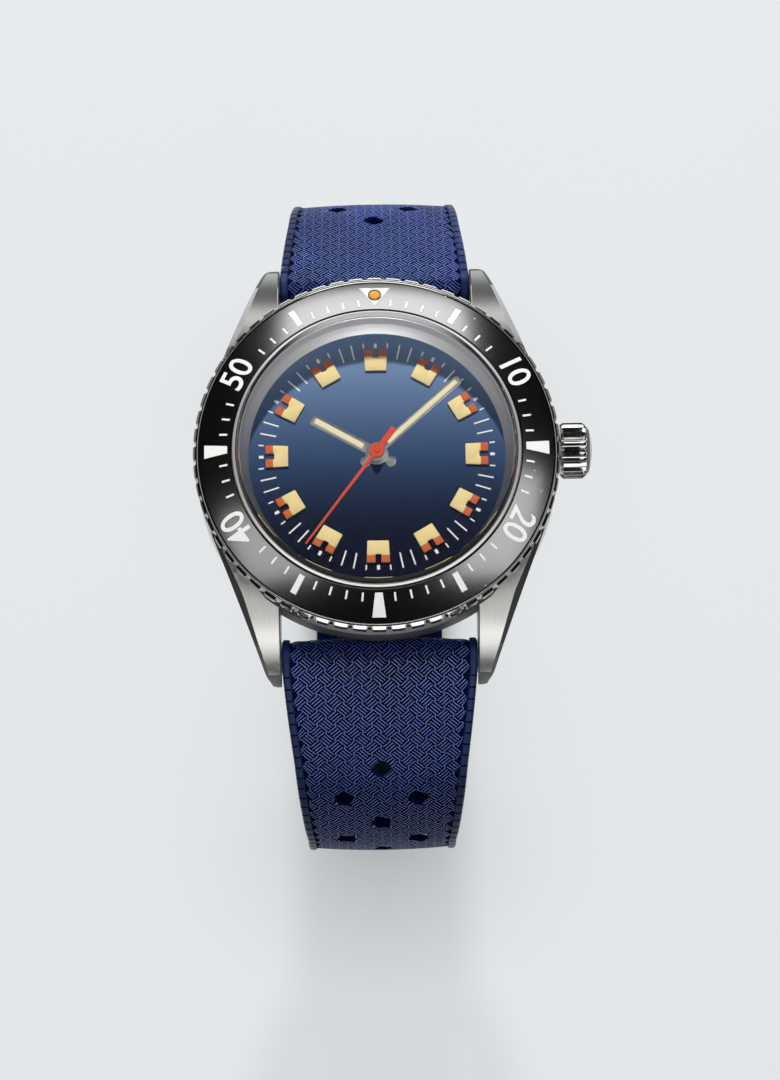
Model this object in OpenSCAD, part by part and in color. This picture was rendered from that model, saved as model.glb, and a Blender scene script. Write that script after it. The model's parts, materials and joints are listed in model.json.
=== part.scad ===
// Dive watch on a rubber strap, drawn as separate pieces, in millimetres.
// Origin: centre of the case back's outer face. +X to the crown, +Y to twelve, +Z out of the dial.

/* [Case] */
// radius of the round case flank
case_r = 18.86; // [17:0.01:21]
// height of the shoulder that the bezel sits on
shoulder_z = 7.6; // [6:0.05:9]
// outer radius of the neck that the bezel turns on
neck_r = 14.85; // [13:0.01:17]
// distance between the inner faces of a pair of lugs
lug_gap = 20.4; // [18:0.1:22.5]
// reach of the lug tips from the centre
lug_tip_y = 22.75; // [20:0.05:26]
// spring bar axis, distance from the centre
bar_y = 20; // [18:0.1:22]
// spring bar axis, height
bar_z = 2.2; // [1:0.1:4]

/* [Bezel] */
// outer radius of the bezel's grip
bezel_r = 18.95; // [17:0.01:21]
// number of grip notches
notch_count = 60; // [40:1:120]
// outer radius of the marked insert
insert_r = 18.36; // [17:0.01:20]

/* [Crown] */
// outer radius of the crown
crown_r = 2.925; // [2:0.025:4]
// crown axis, offset toward twelve
crown_y = 1.2; // [0:0.1:2]
// crown axis, height
crown_z = 4.8; // [4:0.1:6]

/* [Dial and hands] */
// radius of the dial disc
dial_r = 13.9; // [12:0.05:15]
// height of the dial's face
dial_z = 7; // [6:0.05:8]
// length of the hour hand
hour_length = 7.85; // [6:0.05:9]
// length of the minute hand
minute_length = 11.7; // [10:0.05:12.5]
// length of the seconds hand
seconds_length = 12.3; // [10:0.05:12.8]
// hour hand, degrees clockwise from twelve
hour_angle = 300; // [0:1:359]
// minute hand, degrees clockwise from twelve
minute_angle = 48; // [0:1:359]
// seconds hand, degrees clockwise from twelve
seconds_angle = 217; // [0:1:359]

/* [Strap] */
// strap width between the lugs
strap_w = 20; // [18:0.5:22]
// strap width at the buckle
strap_end_w = 16; // [14:0.5:20]
// strap thickness away from the lugs
strap_t = 2.4; // [1.8:0.1:3.5]
// length of the half with the buckle, along its middle
short_length = 67.6; // [60:0.2:85]
// length of the half with the free tail, along its middle
long_length = 107.8; // [95:0.2:130]
// spacing of the rows of openings
row_pitch = 3.74; // [3:0.02:6]

/* [Hidden] */
$fn = 96;
degree = 180 / PI;
case_bottom = 0.95;
cavity_r = 13.95;
seat_r = 14.5;
flange_r = 14.3;
crystal_r = 14.2;
flange_top = 9.9;
neck_top = 11.05;
bezel_z = shoulder_z + 0.05;
bezel_bore = neck_r + 0.08;
wire_z = 8.4;
wire_r = 14.9;
insert_slope = 0.342;
lug_corner = [11.8, 21.9];
lug_far = norm(lug_corner);
lug_tangent = atan2(lug_corner[1], lug_corner[0]) - acos(case_r / lug_far);
// movement levels, from the case back up to the dial
bridge_low = 1.95;
bridge_high = 2.6;
plate_low = 4.75;
plate_high = 6;
movement_r = 12.8;
barrel_at = [2.36, 5.841];
third_at = [-2.949, -2.065];
escape_at = [0.478, -2.708];
pallet_at = [2.37, -4.19];
balance_at = [4.68, -5.99];
minute_wheel_at = [2.771, 1.6];
crown_wheel_at = [8.9, 1.2];
click_at = [-3.53, 9.24];
pallet_turn = atan2(balance_at[1] - escape_at[1], balance_at[0] - escape_at[0]);
// strap middle line: two arcs, a straight side, then a corner and a flat tail
turn_a = 28;
turn_b = 45;
turn_c = 108.7;
first_length = 12.5;
first_r = first_length * degree / (turn_b - turn_a);
second_r = 18;
second_length = second_r * (turn_c - turn_b) / degree;
corner_r = 10;
side_length = 37.9;
corner_length = corner_r * (180 - turn_c) / degree;
mark_1 = first_length;
mark_2 = mark_1 + second_length;
mark_3 = mark_2 + side_length;
mark_4 = mark_3 + corner_length;
point_0 = [bar_y, bar_z];
point_1 = arc_end(point_0, first_r, turn_a, turn_b);
point_2 = arc_end(point_1, second_r, turn_b, turn_c);
point_3 = point_2 + side_length * ahead(turn_c);
point_4 = arc_end(point_3, corner_r, turn_c, 180);
tube_r = 1.9;
end_tube_r = 1.6;
pin_r = 0.75;
pin_clear = 0.05;
tail_r = 8.6;
tail_y = point_4[0] - (long_length - mark_4);
buckle_at = strap_point(short_length);
keeper_fixed_s = 58.8;
keeper_loose_s = 50.3;
// half width and height of each strap half, downwards
short_taper = [[strap_w / 2, 1.7], [9.4, -4.5], [8.85, -12], [strap_end_w / 2, -23]];
long_taper = [[strap_w / 2, 1.7], [9.1, -4.5], [8.5, -10], [strap_end_w / 2, -15.8]];

function ahead(turn) = [cos(turn), -sin(turn)];
function outward(turn) = [sin(turn), cos(turn)];
function arc_end(p, r, t0, t1) = [p[0] + r * (sin(t1) - sin(t0)), p[1] - r * (cos(t0) - cos(t1))];
function strap_turn(s) =
    s <= mark_1 ? turn_a + s / first_r * degree :
    s <= mark_2 ? turn_b + (s - mark_1) / second_r * degree :
    s <= mark_3 ? turn_c :
    s <= mark_4 ? turn_c + (s - mark_3) / corner_r * degree : 180;
function strap_point(s) =
    s <= mark_1 ? arc_end(point_0, first_r, turn_a, strap_turn(s)) :
    s <= mark_2 ? arc_end(point_1, second_r, turn_b, strap_turn(s)) :
    s <= mark_3 ? point_2 + (s - mark_2) * ahead(turn_c) :
    s <= mark_4 ? arc_end(point_3, corner_r, turn_c, strap_turn(s)) :
    point_4 + (s - mark_4) * [-1, 0];
function strap_thick(s) =
    s < 9 ? 3.4 - 0.8 * s / 9 :
    s < mark_2 ? 2.6 - (2.6 - strap_t) * (s - 9) / (mark_2 - 9) : strap_t;
function strap_edge(s, side) = strap_point(s) + side * strap_thick(s) / 2 * outward(strap_turn(s));
function span(a, b, n) = [for (i = [0:n - 1]) a + (b - a) * i / n];
function gear_points(n, root, tip) = [for (i = [0:n - 1], k = [0:3])
    let (turn = 360 / n * (i + [0, 0.14, 0.36, 0.5][k] - 0.25), r = [root, tip, tip, root][k])
    [r * cos(turn), r * sin(turn)]];
function saw_points(n, root, tip) = [for (i = [0:n - 1], k = [0:1])
    let (turn = 360 / n * (i + [0, 0.25][k]), r = [root, tip][k]) [r * cos(turn), r * sin(turn)]];
function spiral_side(r0, pitch, turns, shift, n) = [for (i = [0:n])
    let (turn = 360 * turns * i / n, r = r0 + pitch * turns * i / n + shift) [r * cos(turn), r * sin(turn)]];
function backward(v) = [for (i = [len(v) - 1:-1:0]) v[i]];
function lug_arc(t) = let (r = 14.87) [11.5 + r * sin(t), shoulder_z - r + r * cos(t)];

module revolve(points) {
    rotate_extrude() polygon(points);
}

module ring(inner, outer, low, high) {
    rotate_extrude() translate([inner, low]) square([outer - inner, high - low]);
}

module disc(r, low, high) {
    translate([0, 0, low]) cylinder(r = r, h = high - low);
}

module rod_x(r, x0, x1) {
    translate([x0, 0, 0]) rotate([0, 90, 0]) cylinder(r = r, h = x1 - x0);
}

module ring_x(inner, outer, x0, x1) {
    translate([x0, 0, 0]) rotate([0, 90, 0]) ring(inner, outer, 0, x1 - x0);
}

// draws a Y-Z outline and thickens it along X
module side_plate(w) {
    rotate([90, 0, 90]) linear_extrude(w, center = true) children();
}

// draws an X-Z outline and thickens it along Y
module front_plate(w) {
    rotate([90, 0, 0]) linear_extrude(w, center = true) children();
}

module at_strap(s) {
    p = strap_point(s);
    translate([0, p[0], p[1]]) rotate([-strap_turn(s), 0, 0]) children();
}

module four_corners() {
    for (a = [0, 1], b = [0, 1]) mirror([a, 0, 0]) mirror([0, b, 0]) children();
}

module spiral(r0, pitch, turns, w, n) {
    polygon(concat(
        spiral_side(r0, pitch, turns, -w / 2, n),
        backward(spiral_side(r0, pitch, turns, w / 2, n))));
}

module lug() {
    intersection() {
        translate([0, 0, -1]) linear_extrude(10) polygon([
            [lug_gap / 2, 13.6], [lug_gap / 2, lug_tip_y], [11.35, lug_tip_y], lug_corner,
            [case_r * cos(lug_tangent), case_r * sin(lug_tangent)], [15.6, 6.75], [14.5, 8.9]]);
        side_plate(60) polygon(concat(
            [[6, case_bottom], [6, shoulder_z]],
            [for (t = [0:2:40]) lug_arc(t)],
            [[21.75, 3.45], [22.25, 2.85], [22.6, 2.1], [lug_tip_y, 1.1],
                [22.55, 0.15], [21, 0.15], [16, case_bottom]]));
    }
}

module mid_case() color("silver") difference() {
    union() {
        revolve([[cavity_r, case_bottom], [17.9, case_bottom], [case_r, 1.8], [case_r, 7.2],
            [18.46, shoulder_z], [neck_r, shoulder_z], [neck_r, neck_top - 0.1], [neck_r - 0.1, neck_top],
            [seat_r, neck_top], [seat_r, flange_top], [flange_r + 0.02, flange_top],
            [flange_r + 0.02, dial_z], [cavity_r, dial_z]]);
        four_corners() lug();
    }
    intersection() {
        revolve([[16.6, 0], [16.6, case_bottom], [17, 2.6], [case_r + 0.02, 4.4], [25, 4.4], [25, 0]]);
        translate([-lug_gap / 2, -40, -1]) cube([lug_gap, 80, 20]);
    }
    ring(15.5, 16.5, 7.3, 8);
    rotate_extrude() translate([wire_r, wire_z]) circle(0.32);
    rotate_extrude() translate([14.8, case_bottom]) circle(0.3);
    for (side = [-1, 1]) translate([0, side * bar_y, bar_z]) rod_x(0.5, -11.6, 11.6);
    translate([0, crown_y, crown_z]) rod_x(1.5, 12, 20);
}

module caseback() color("silver") difference() {
    revolve([[0, 0], [15.1, 0], [15.6, 0.4], [15.6, case_bottom],
        [cavity_r - 0.05, case_bottom], [cavity_r - 0.05, 1.85],
        [13.2, 1.85], [13.2, 1], [0, 1]]);
    for (i = [0:5]) rotate(60 * i + 30) translate([14.9, -0.9, -1]) cube([2, 1.8, 1.5]);
    rotate_extrude() translate([14.8, case_bottom]) circle(0.3);
}

module caseback_gasket() color("dimgray") rotate_extrude() translate([14.8, case_bottom]) circle(0.29);

module crystal() color("azure", 0.3) revolve([[0, flange_top + 0.05], [crystal_r, flange_top + 0.05],
    [crystal_r, 11.95], [crystal_r - 0.5, 12.45], [0, 12.45]]);

module crystal_gasket() color("dimgray") ring(crystal_r, seat_r - 0.02, flange_top + 0.05, 10.95);

module dial_flange() color("lightgray") revolve([[13.3, dial_z], [flange_r, dial_z], [flange_r, flange_top],
    [14.05, flange_top], [13.3, dial_z + 0.2]]);

module dial() color("navy") difference() {
    union() {
        disc(dial_r, dial_z - 0.4, dial_z);
        for (turn = [75, 255]) rotate(turn) translate([11.2, 0]) disc(0.35, 5.4, dial_z - 0.3);
    }
    disc(1, 0, 10);
}

// one hour plot in plan, reaching out along +Y
module plot_lume() difference() {
    polygon([[-1.1, 9.17], [1.1, 9.17], [1.175, 10.75], [-1.175, 10.75]]);
    translate([-0.3, 10.65]) square([0.6, 1]);
}

module plot_tips() for (side = [-1, 1]) {
    polygon([[side * 0.3, 10.75], [side * 1.175, 10.75], [side * 1.2, 11.5], [side * 0.3, 11.5]]);
}

module marker_lume() color("khaki") translate([0, 0, dial_z]) linear_extrude(0.25) {
    for (i = [0:11]) rotate(30 * i) plot_lume();
}

module marker_tips() color("orangered") translate([0, 0, dial_z]) linear_extrude(0.25) {
    for (i = [0:11]) rotate(30 * i) plot_tips();
}

module crown_tube() color("silver") translate([0, crown_y, crown_z]) ring_x(0.55, 1.5, 14.6, 20.5);

module bezel_click_spring() color("slategray") union() {
    difference() {
        ring(15.6, 16.4, 7.32, 7.5);
        rotate(100) translate([0, -1, 7]) cube([20, 2, 2]);
    }
    rotate(94) translate([15.75, -0.3, 7.4]) cube([0.5, 0.6, 0.52]);
}

module bezel_wire() color("slategray") rotate_extrude() translate([wire_r, wire_z]) circle(0.28);

module movement_ring() color("gray") difference() {
    ring(movement_r + 0.05, cavity_r - 0.03, 1.95, dial_z - 0.42);
    translate([0, crown_y, crown_z]) rod_x(1.6, 5, 20);
}

module bridge_holes(low, high) {
    for (p = [third_at, escape_at, [0, 0]]) translate(p) disc(0.55, low, high);
}

module screw_spots() {
    for (p = [[-8.5, 7], [9.3, 6.5], [-10.6, -0.8], [-5.5, -9.8], [10.7, -5.2]]) translate(p) children();
}

module main_plate() color("goldenrod") difference() {
    union() {
        disc(movement_r, plate_low, plate_high);
        ring(12.1, movement_r, plate_high, dial_z - 0.42);
        translate(minute_wheel_at) disc(0.2, plate_high, 6.5);
        screw_spots() disc(0.9, bridge_high, plate_low + 0.1);
    }
    disc(0.62, 0, 10);
    for (turn = [75, 255]) rotate(turn) translate([11.2, 0]) disc(0.4, 0, 10);
    for (p = [third_at, pallet_at, balance_at, barrel_at]) translate(p) disc(0.3, plate_low - 0.01, 5.4);
    screw_spots() disc(0.35, 0, 5.4);
    translate([7.8, crown_y - 1.2, plate_low - 1]) cube([6, 2.4, 2.1]);
}

module barrel_bridge() color("silver") difference() {
    translate([0, 0, bridge_low]) linear_extrude(bridge_high - bridge_low) intersection() {
        circle(movement_r - 0.1);
        polygon([[-20, 1.4], [5.2, 1.4], [5.2, 0.2], [20, 0.2], [20, 20], [-20, 20]]);
    }
    screw_spots() disc(0.35, 0, 5);
    screw_spots() disc(0.75, 0, 2.3);
    for (p = [barrel_at, click_at, crown_wheel_at]) translate(p) disc(0.3, 0, 5);
}

module train_bridge() color("silver") difference() {
    translate([0, 0, bridge_low]) linear_extrude(bridge_high - bridge_low) intersection() {
        circle(movement_r - 0.1);
        polygon([[-20, 1.2], [4.2, 1.2], [4.2, -1], [1.6, -3.4],
            [0.4, -6], [-2.6, -9.8], [-3.4, -20], [-20, -20]]);
    }
    screw_spots() disc(0.35, 0, 5);
    screw_spots() disc(0.75, 0, 2.3);
    bridge_holes(0, 5);
}

module balance_cock() color("silver") difference() {
    translate([0, 0, bridge_low]) linear_extrude(bridge_high - bridge_low - 0.15) intersection() {
        circle(movement_r - 0.1);
        union() {
            translate(balance_at) circle(1.5);
            polygon([[4.4, -4.6], [12, -1.2], [14, -9], [5.2, -7.4]]);
        }
    }
    screw_spots() disc(0.35, 0, 5);
    screw_spots() disc(0.75, 0, 2.3);
    translate(balance_at) disc(0.55, 0, 5);
}

module jewel() ring(0.17, 0.55, 0, 0.35);

module jewels() color("crimson") {
    for (p = [third_at, escape_at, [0, 0], balance_at]) translate([p[0], p[1], bridge_low]) jewel();
}

module bridge_screws() color("steelblue") screw_spots() difference() {
    union() {
        disc(0.7, 2.02, 2.3);
        disc(0.35, 2.25, 5.3);
    }
    translate([-1, -0.08, 1.9]) cube([2, 0.16, 0.25]);
}

module rotor_bearing() color("silver") difference() {
    disc(1.1, 1.12, bridge_low);
    ring(0.8, 2, 1.4, 1.75);
}

module spring_bar(side) translate([0, side * bar_y, bar_z]) union() {
    rod_x(pin_r, -10.1, 10.1);
    rod_x(0.45, -11.5, 11.5);
}

module spring_bar_upper() color("silver") spring_bar(1);

module spring_bar_lower() color("silver") spring_bar(-1);

module bezel() color("silver") difference() {
    revolve([[bezel_bore, bezel_z], [18.5, bezel_z], [18.5, 8.45], [bezel_r, 8.7],
        [bezel_r, 9.72], [bezel_r - 0.18, 9.9],
        [insert_r + 0.02, 9.9], [insert_r + 0.02, 9.28],
        [bezel_bore, 9.28 + (insert_r + 0.02 - bezel_bore) * insert_slope]]);
    for (i = [0:notch_count - 1]) rotate(360 / notch_count * (i + 0.5)) {
        translate([bezel_r + 0.05, 0, 8]) cylinder(r = 0.31, h = 3, $fn = 24);
    }
    ring(15.4, 16.6, 7, 8);
    translate([0, 0, 7.9]) linear_extrude(0.3) {
        for (i = [0:notch_count - 1]) rotate(360 / notch_count * i) translate([15.5, -0.25]) square([1, 0.5]);
    }
    rotate_extrude() translate([wire_r, wire_z]) circle(0.32);
}

module bezel_insert() color("black") difference() {
    revolve([[insert_r, 9.295], [insert_r, 9.8], [14.97, 9.8 + (insert_r - 14.97) * insert_slope],
        [14.97, 9.295 + (insert_r - 14.97) * insert_slope]]);
    translate([0, 16.9]) disc(0.72, 9, 12);
}

module bezel_pip() color("orange") translate([0, 16.9]) union() {
    disc(0.7, 10.06, 10.5);
}

module centre_wheel() color("goldenrod") difference() {
    union() {
        translate([0, 0, 4.5]) linear_extrude(0.15) polygon(gear_points(64, 2.95, 3.17));
        translate([0, 0, 3.5]) linear_extrude(0.22) polygon(gear_points(12, 0.68, 0.87));
        disc(0.5, 3.3, 4.66);
    }
    disc(0.24, 0, 10);
    for (i = [0:3]) rotate(90 * i) translate([1.75, 0, 4]) cylinder(r = 0.8, h = 1);
}

module cannon_pinion() color("silver") difference() {
    union() {
        disc(0.5, 4.66, 8.24);
        translate([0, 0, 6.06]) linear_extrude(0.18) polygon(gear_points(12, 0.62, 0.78));
    }
    disc(0.24, 0, 10);
}

module hand_slot(w, y0, y1) translate([-w / 2, y0]) square([w, y1 - y0]);

module hand_tail(w, reach) polygon([
    [-0.32, 0.4], [0.32, 0.4], [0.32, -1.15], [w / 2, -reach + 0.5], [w / 2, -reach + 0.25],
    [0.2, -reach], [-0.2, -reach], [-w / 2, -reach + 0.25], [-w / 2, -reach + 0.5], [-0.32, -1.15]]);

module minute_hand() color("silver") rotate(-minute_angle) translate([0, 0, 8.24]) difference() {
    union() {
        disc(1.05, 0, 0.2);
        linear_extrude(0.2) polygon([[-0.5, 0], [0.5, 0], [0.5, minute_length - 0.25], [0.3, minute_length],
            [-0.3, minute_length], [-0.5, minute_length - 0.25]]);
        linear_extrude(0.2) hand_tail(1.1, 2.1);
    }
    disc(0.24, -1, 1);
    translate([0, 0, -1]) linear_extrude(2) hand_slot(0.5, 1.5, minute_length - 0.5);
}

module minute_hand_lume() color("khaki") rotate(-minute_angle) translate([0, 0, 8.24]) {
    linear_extrude(0.2) hand_slot(0.5, 1.5, minute_length - 0.5);
}

module hour_wheel() color("goldenrod") difference() {
    union() {
        translate([0, 0, 6.3]) linear_extrude(0.18) polygon(gear_points(40, 2.35, 2.53));
        disc(0.8, 6.3, 7.55);
    }
    disc(0.56, 0, 10);
}

module hour_hand() color("silver") rotate(-hour_angle) translate([0, 0, 7.55]) difference() {
    union() {
        disc(1.2, 0, 0.2);
        linear_extrude(0.2) polygon([[-0.6, 0], [0.6, 0], [0.6, hour_length - 0.3], [0.35, hour_length],
            [-0.35, hour_length], [-0.6, hour_length - 0.3]]);
        linear_extrude(0.2) hand_tail(1.2, 2.2);
    }
    disc(0.56, -1, 1);
    translate([0, 0, -1]) linear_extrude(2) hand_slot(0.58, 1.6, hour_length - 0.55);
}

module hour_hand_lume() color("khaki") rotate(-hour_angle) translate([0, 0, 7.55]) {
    linear_extrude(0.2) hand_slot(0.58, 1.6, hour_length - 0.55);
}

module fourth_wheel() color("goldenrod") union() {
    difference() {
        translate([0, 0, 2.78]) linear_extrude(0.15) polygon(gear_points(60, 2.3, 2.47));
        for (i = [0:3]) rotate(90 * i) translate([1.3, 0, 2]) cylinder(r = 0.55, h = 2);
    }
    disc(0.36, 2.78, 3.2);
    translate([0, 0, 3.05]) linear_extrude(0.15) polygon(gear_points(8, 0.3, 0.4));
    disc(0.13, 2.05, 2.8);
    disc(0.18, 3.1, 8.66);
}

module seconds_hand() color("orangered") rotate(-seconds_angle) translate([0, 0, 8.66]) union() {
    disc(0.76, 0, 0.2);
    linear_extrude(0.2) polygon([[-0.2, 0], [0.2, 0], [0.1, seconds_length], [-0.1, seconds_length]]);
    linear_extrude(0.2) polygon([[-0.31, 0.2], [0.31, 0.2], [0.31, -3.05], [-0.31, -3.05]]);
}

module third_wheel() color("goldenrod") translate(third_at) union() {
    difference() {
        translate([0, 0, 3.05]) linear_extrude(0.15) polygon(gear_points(60, 2.97, 3.15));
        for (i = [0:3]) rotate(90 * i) translate([1.7, 0, 2]) cylinder(r = 0.75, h = 2);
    }
    translate([0, 0, 4.5]) linear_extrude(0.15) polygon(gear_points(8, 0.28, 0.38));
    disc(0.25, 3.05, 4.65);
    disc(0.13, 2.05, 5.2);
}

module barrel() color("goldenrod") translate(barrel_at) difference() {
    union() {
        disc(5.05, 3.35, 4.35);
        translate([0, 0, 3.5]) linear_extrude(0.22) polygon(gear_points(72, 5.18, 5.37));
    }
    disc(4.8, 3.5, 4.2);
    disc(0.5, 0, 10);
}

module mainspring() color("steelblue") translate([barrel_at[0], barrel_at[1], 3.56]) {
    linear_extrude(0.58) spiral(0.85, 0.42, 9, 0.12, 270);
}

module ratchet_wheel() color("silver") translate(barrel_at) union() {
    translate([0, 0, 3.02]) linear_extrude(0.2) polygon(gear_points(56, 5.62, 5.81));
    disc(0.44, 3.02, 4.5);
    disc(0.24, 2.1, 5.2);
}

module minute_wheel() color("goldenrod") translate(minute_wheel_at) difference() {
    union() {
        translate([0, 0, 6.06]) linear_extrude(0.18) polygon(gear_points(36, 2.2, 2.37));
        translate([0, 0, 6.2]) linear_extrude(0.28) polygon(gear_points(10, 0.46, 0.61));
    }
    disc(0.24, 0, 10);
}

module escape_wheel() color("silver") translate(escape_at) union() {
    difference() {
        translate([0, 0, 3.5]) linear_extrude(0.14) polygon(saw_points(20, 1.35, 1.68));
        for (i = [0:3]) rotate(90 * i) translate([0.82, 0, 3]) cylinder(r = 0.36, h = 2);
    }
    translate([0, 0, 2.78]) linear_extrude(0.15) polygon(gear_points(6, 0.16, 0.23));
    disc(0.15, 2.78, 3.6);
    disc(0.12, 2.05, 4.2);
}

module pallet_fork() color("silver") translate(pallet_at) rotate(pallet_turn) union() {
    translate([0, 0, 3.5]) linear_extrude(0.14) difference() {
        union() {
            circle(0.32);
            translate([0, -0.14]) square([1.95, 0.28]);
            polygon([[1.7, -0.14], [2.05, -0.3], [2.05, 0.3], [1.7, 0.14]]);
            translate([-0.14, -1.1]) square([0.28, 2.2]);
            for (side = [-1, 1]) translate([-0.55, side * 1.0 - 0.1]) square([0.6, 0.2]);
        }
        translate([1.88, -0.09]) square([0.4, 0.18]);
    }
    disc(0.14, 3.3, 5.2);
}

module balance_wheel() color("gold") translate(balance_at) union() {
    ring(3.35, 3.85, 2.95, 3.25);
    translate([0, 0, 3.02]) linear_extrude(0.16) union() {
        for (i = [0:2]) rotate(120 * i) translate([0, -0.22]) square([3.45, 0.44]);
        circle(0.6);
    }
    disc(0.42, 3.1, 3.38);
    disc(0.13, 2.05, 5.2);
    for (i = [0:11]) rotate(30 * i) translate([0, 0, 3.1]) rod_x(0.12, 3.7, 4.05);
}

module hairspring() color("steelblue") translate([balance_at[0], balance_at[1], 2.62]) union() {
    linear_extrude(0.12) spiral(0.5, 0.22, 8, 0.07, 240);
    ring(0.13, 0.62, 0, 0.12);
}

module crown_wheel() color("silver") translate(crown_wheel_at) union() {
    translate([0, 0, 3.02]) linear_extrude(0.2) polygon(gear_points(21, 1.98, 2.16));
    disc(1.6, 3.2, 3.6);
    difference() {
        disc(2.1, 3.4, 3.75);
        for (i = [0:20]) rotate(360 / 21 * i) translate([1.65, -0.09, 3.6]) cube([1, 0.18, 1]);
    }
    disc(0.24, 2.1, 3.85);
}

module click() color("silver") translate(click_at) union() {
    translate([0, 0, 3.02]) linear_extrude(0.2) union() {
        circle(0.6);
        polygon([[-0.2, 0.5], [0.3, -0.45], [1.9, 0.95], [1.7, 1.15]]);
    }
    disc(0.24, 2.1, 3.1);
}

module sliding_pinion() color("silver") translate([0, crown_y, crown_z]) difference() {
    union() {
        translate([8.4, 0, 0]) rotate([0, 90, 0]) linear_extrude(0.6) polygon(gear_points(14, 0.62, 0.8));
        rod_x(0.6, 8.4, 10.1);
    }
    rod_x(0.5, 8, 11);
}

module winding_pinion() color("silver") translate([0, crown_y, crown_z]) difference() {
    translate([10.15, 0, 0]) rotate([0, 90, 0]) linear_extrude(1.7) polygon(gear_points(14, 0.74, 0.94));
    rod_x(0.5, 8, 13);
}

module crown() color("silver") translate([0, crown_y, crown_z]) difference() {
    rotate([0, 90, 0]) revolve([[0, 22.42], [1.1, 22.36], [2, 22.12], [2.5, 21.8],
        [crown_r, 21.45], [crown_r, 19.4], [crown_r - 0.3, 19.1],
        [2, 19.1], [2, 20.8], [0.45, 20.8], [0.45, 21.3], [0, 21.3]]);
    for (i = [0:23]) rotate([15 * i, 0, 0]) translate([0, 0, crown_r + 0.05]) rod_x(0.22, 18, 21.75);
}

module crown_gasket() color("dimgray") translate([0, crown_y, crown_z]) ring_x(1.56, 1.98, 19.5, 20.1);

module winding_stem() color("silver") translate([0, crown_y, crown_z]) rod_x(0.45, 8, 21.3);

module rotor() color("silver") difference() {
    union() {
        translate([0, 0, 1.45]) linear_extrude(0.25) union() {
            intersection() {
                circle(12.2);
                translate([-13, -13]) square([26, 13]);
            }
            circle(2);
        }
        difference() {
            ring(9.8, 12.2, 1.15, 1.75);
            translate([-13, 0, 0]) cube([26, 13, 3]);
        }
    }
    disc(0.85, 0, 5);
}

// side outline of a strap half, from the lug to its far end
module strap_outline(total) {
    stops = concat(
        span(0, mark_1, 8), span(mark_1, mark_2, 18),
        total > mark_3 ? concat([mark_2], span(mark_3, mark_4, 12), [mark_4, total]) : [mark_2, total]);
    polygon(concat([for (s = stops) strap_edge(s, 1)], backward([for (s = stops) strap_edge(s, -1)])));
}

module strap_taper(sides) front_plate(120) polygon(concat(
    [[strap_w / 2, 8]], sides, [[strap_end_w / 2, -80], [-strap_end_w / 2, -80]],
    [for (p = backward(sides)) [-p[0], p[1]]], [[-strap_w / 2, 8]]));

module diamonds(last) {
    count = floor((last - 12) / row_pitch);
    for (i = [0:count], x = i % 2 == 0 ? [0] : [-3.9, 3.9]) at_strap(12 + row_pitch * i) {
        translate([x, 0, 0]) linear_extrude(8, center = true) {
            polygon([[-1.1, 0], [0, -0.88], [1.1, 0], [0, 0.88]]);
        }
    }
}

module strap_half(total, last, sides) difference() {
    union() {
        intersection() {
            side_plate(strap_w) strap_outline(total);
            strap_taper(sides);
        }
        translate([0, bar_y, bar_z]) rod_x(tube_r, -strap_w / 2, strap_w / 2);
    }
    translate([0, bar_y, bar_z]) rod_x(pin_r + pin_clear, -12, 12);
    diamonds(last);
}

module strap_short() color("midnightblue") difference() {
    union() {
        strap_half(short_length, 54, short_taper);
        translate([0, buckle_at[0], buckle_at[1]]) rod_x(end_tube_r, -strap_end_w / 2, strap_end_w / 2);
    }
    translate([0, buckle_at[0], buckle_at[1]]) rod_x(pin_r + pin_clear, -12, 12);
    at_strap(short_length) translate([-1.3, -4.5, -4]) cube([2.6, 8, 8]);
}

module strap_long() color("midnightblue") mirror([0, 1, 0]) difference() {
    strap_half(long_length, 98, long_taper);
    translate([0, tail_y, point_4[1] - 3]) linear_extrude(6) difference() {
        translate([-10, -1]) square([20, tail_r]);
        translate([0, tail_r]) circle(tail_r);
    }
}

module buckle() color("silver") at_strap(short_length) difference() {
    union() {
        translate([0, 0, -0.9]) linear_extrude(1.8) difference() {
            union() {
                translate([-10.2, 0]) square([20.4, 9]);
                translate([-8.7, 9]) square([17.4, 1.5]);
                for (side = [-1, 1]) translate([side * 8.7, 9]) circle(1.5);
            }
            translate([-8.35, -3]) square([16.7, 11.4]);
        }
        for (side = [-1, 1]) rod_x(1.35, side * 9.275 - 0.925, side * 9.275 + 0.925);
    }
    rod_x(pin_r, -9.7, 9.7);
    translate([-0.9, 8, 0.35]) cube([1.8, 3, 2]);
}

module buckle_bar() color("silver") at_strap(short_length) rod_x(pin_r, -9.65, 9.65);

module buckle_tang() color("silver") at_strap(short_length) difference() {
    union() {
        rod_x(1.3, -0.75, 0.75);
        side_plate(1.5) polygon([[0, 0.9], [0, 1.28], [9.4, 1.3], [10.25, 0.95],
            [10.3, 0.44], [8, 0.44], [1.2, 0.3]]);
    }
    rod_x(pin_r + pin_clear, -2, 2);
}

module keeper(s) at_strap(s) front_plate(5) difference() {
    union() {
        translate([-8.3, -2.3]) square([16.6, 7.5]);
        translate([-9.2, -1.4]) square([18.4, 5.7]);
        for (side = [-1, 1], z = [-1.4, 4.3]) translate([side * 8.3, z]) circle(0.9);
    }
    translate([-8.25, -1.4]) square([16.5, 5.7]);
}

module keeper_fixed() color("midnightblue") keeper(keeper_fixed_s);

module keeper_loose() color("midnightblue") keeper(keeper_loose_s);

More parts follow.
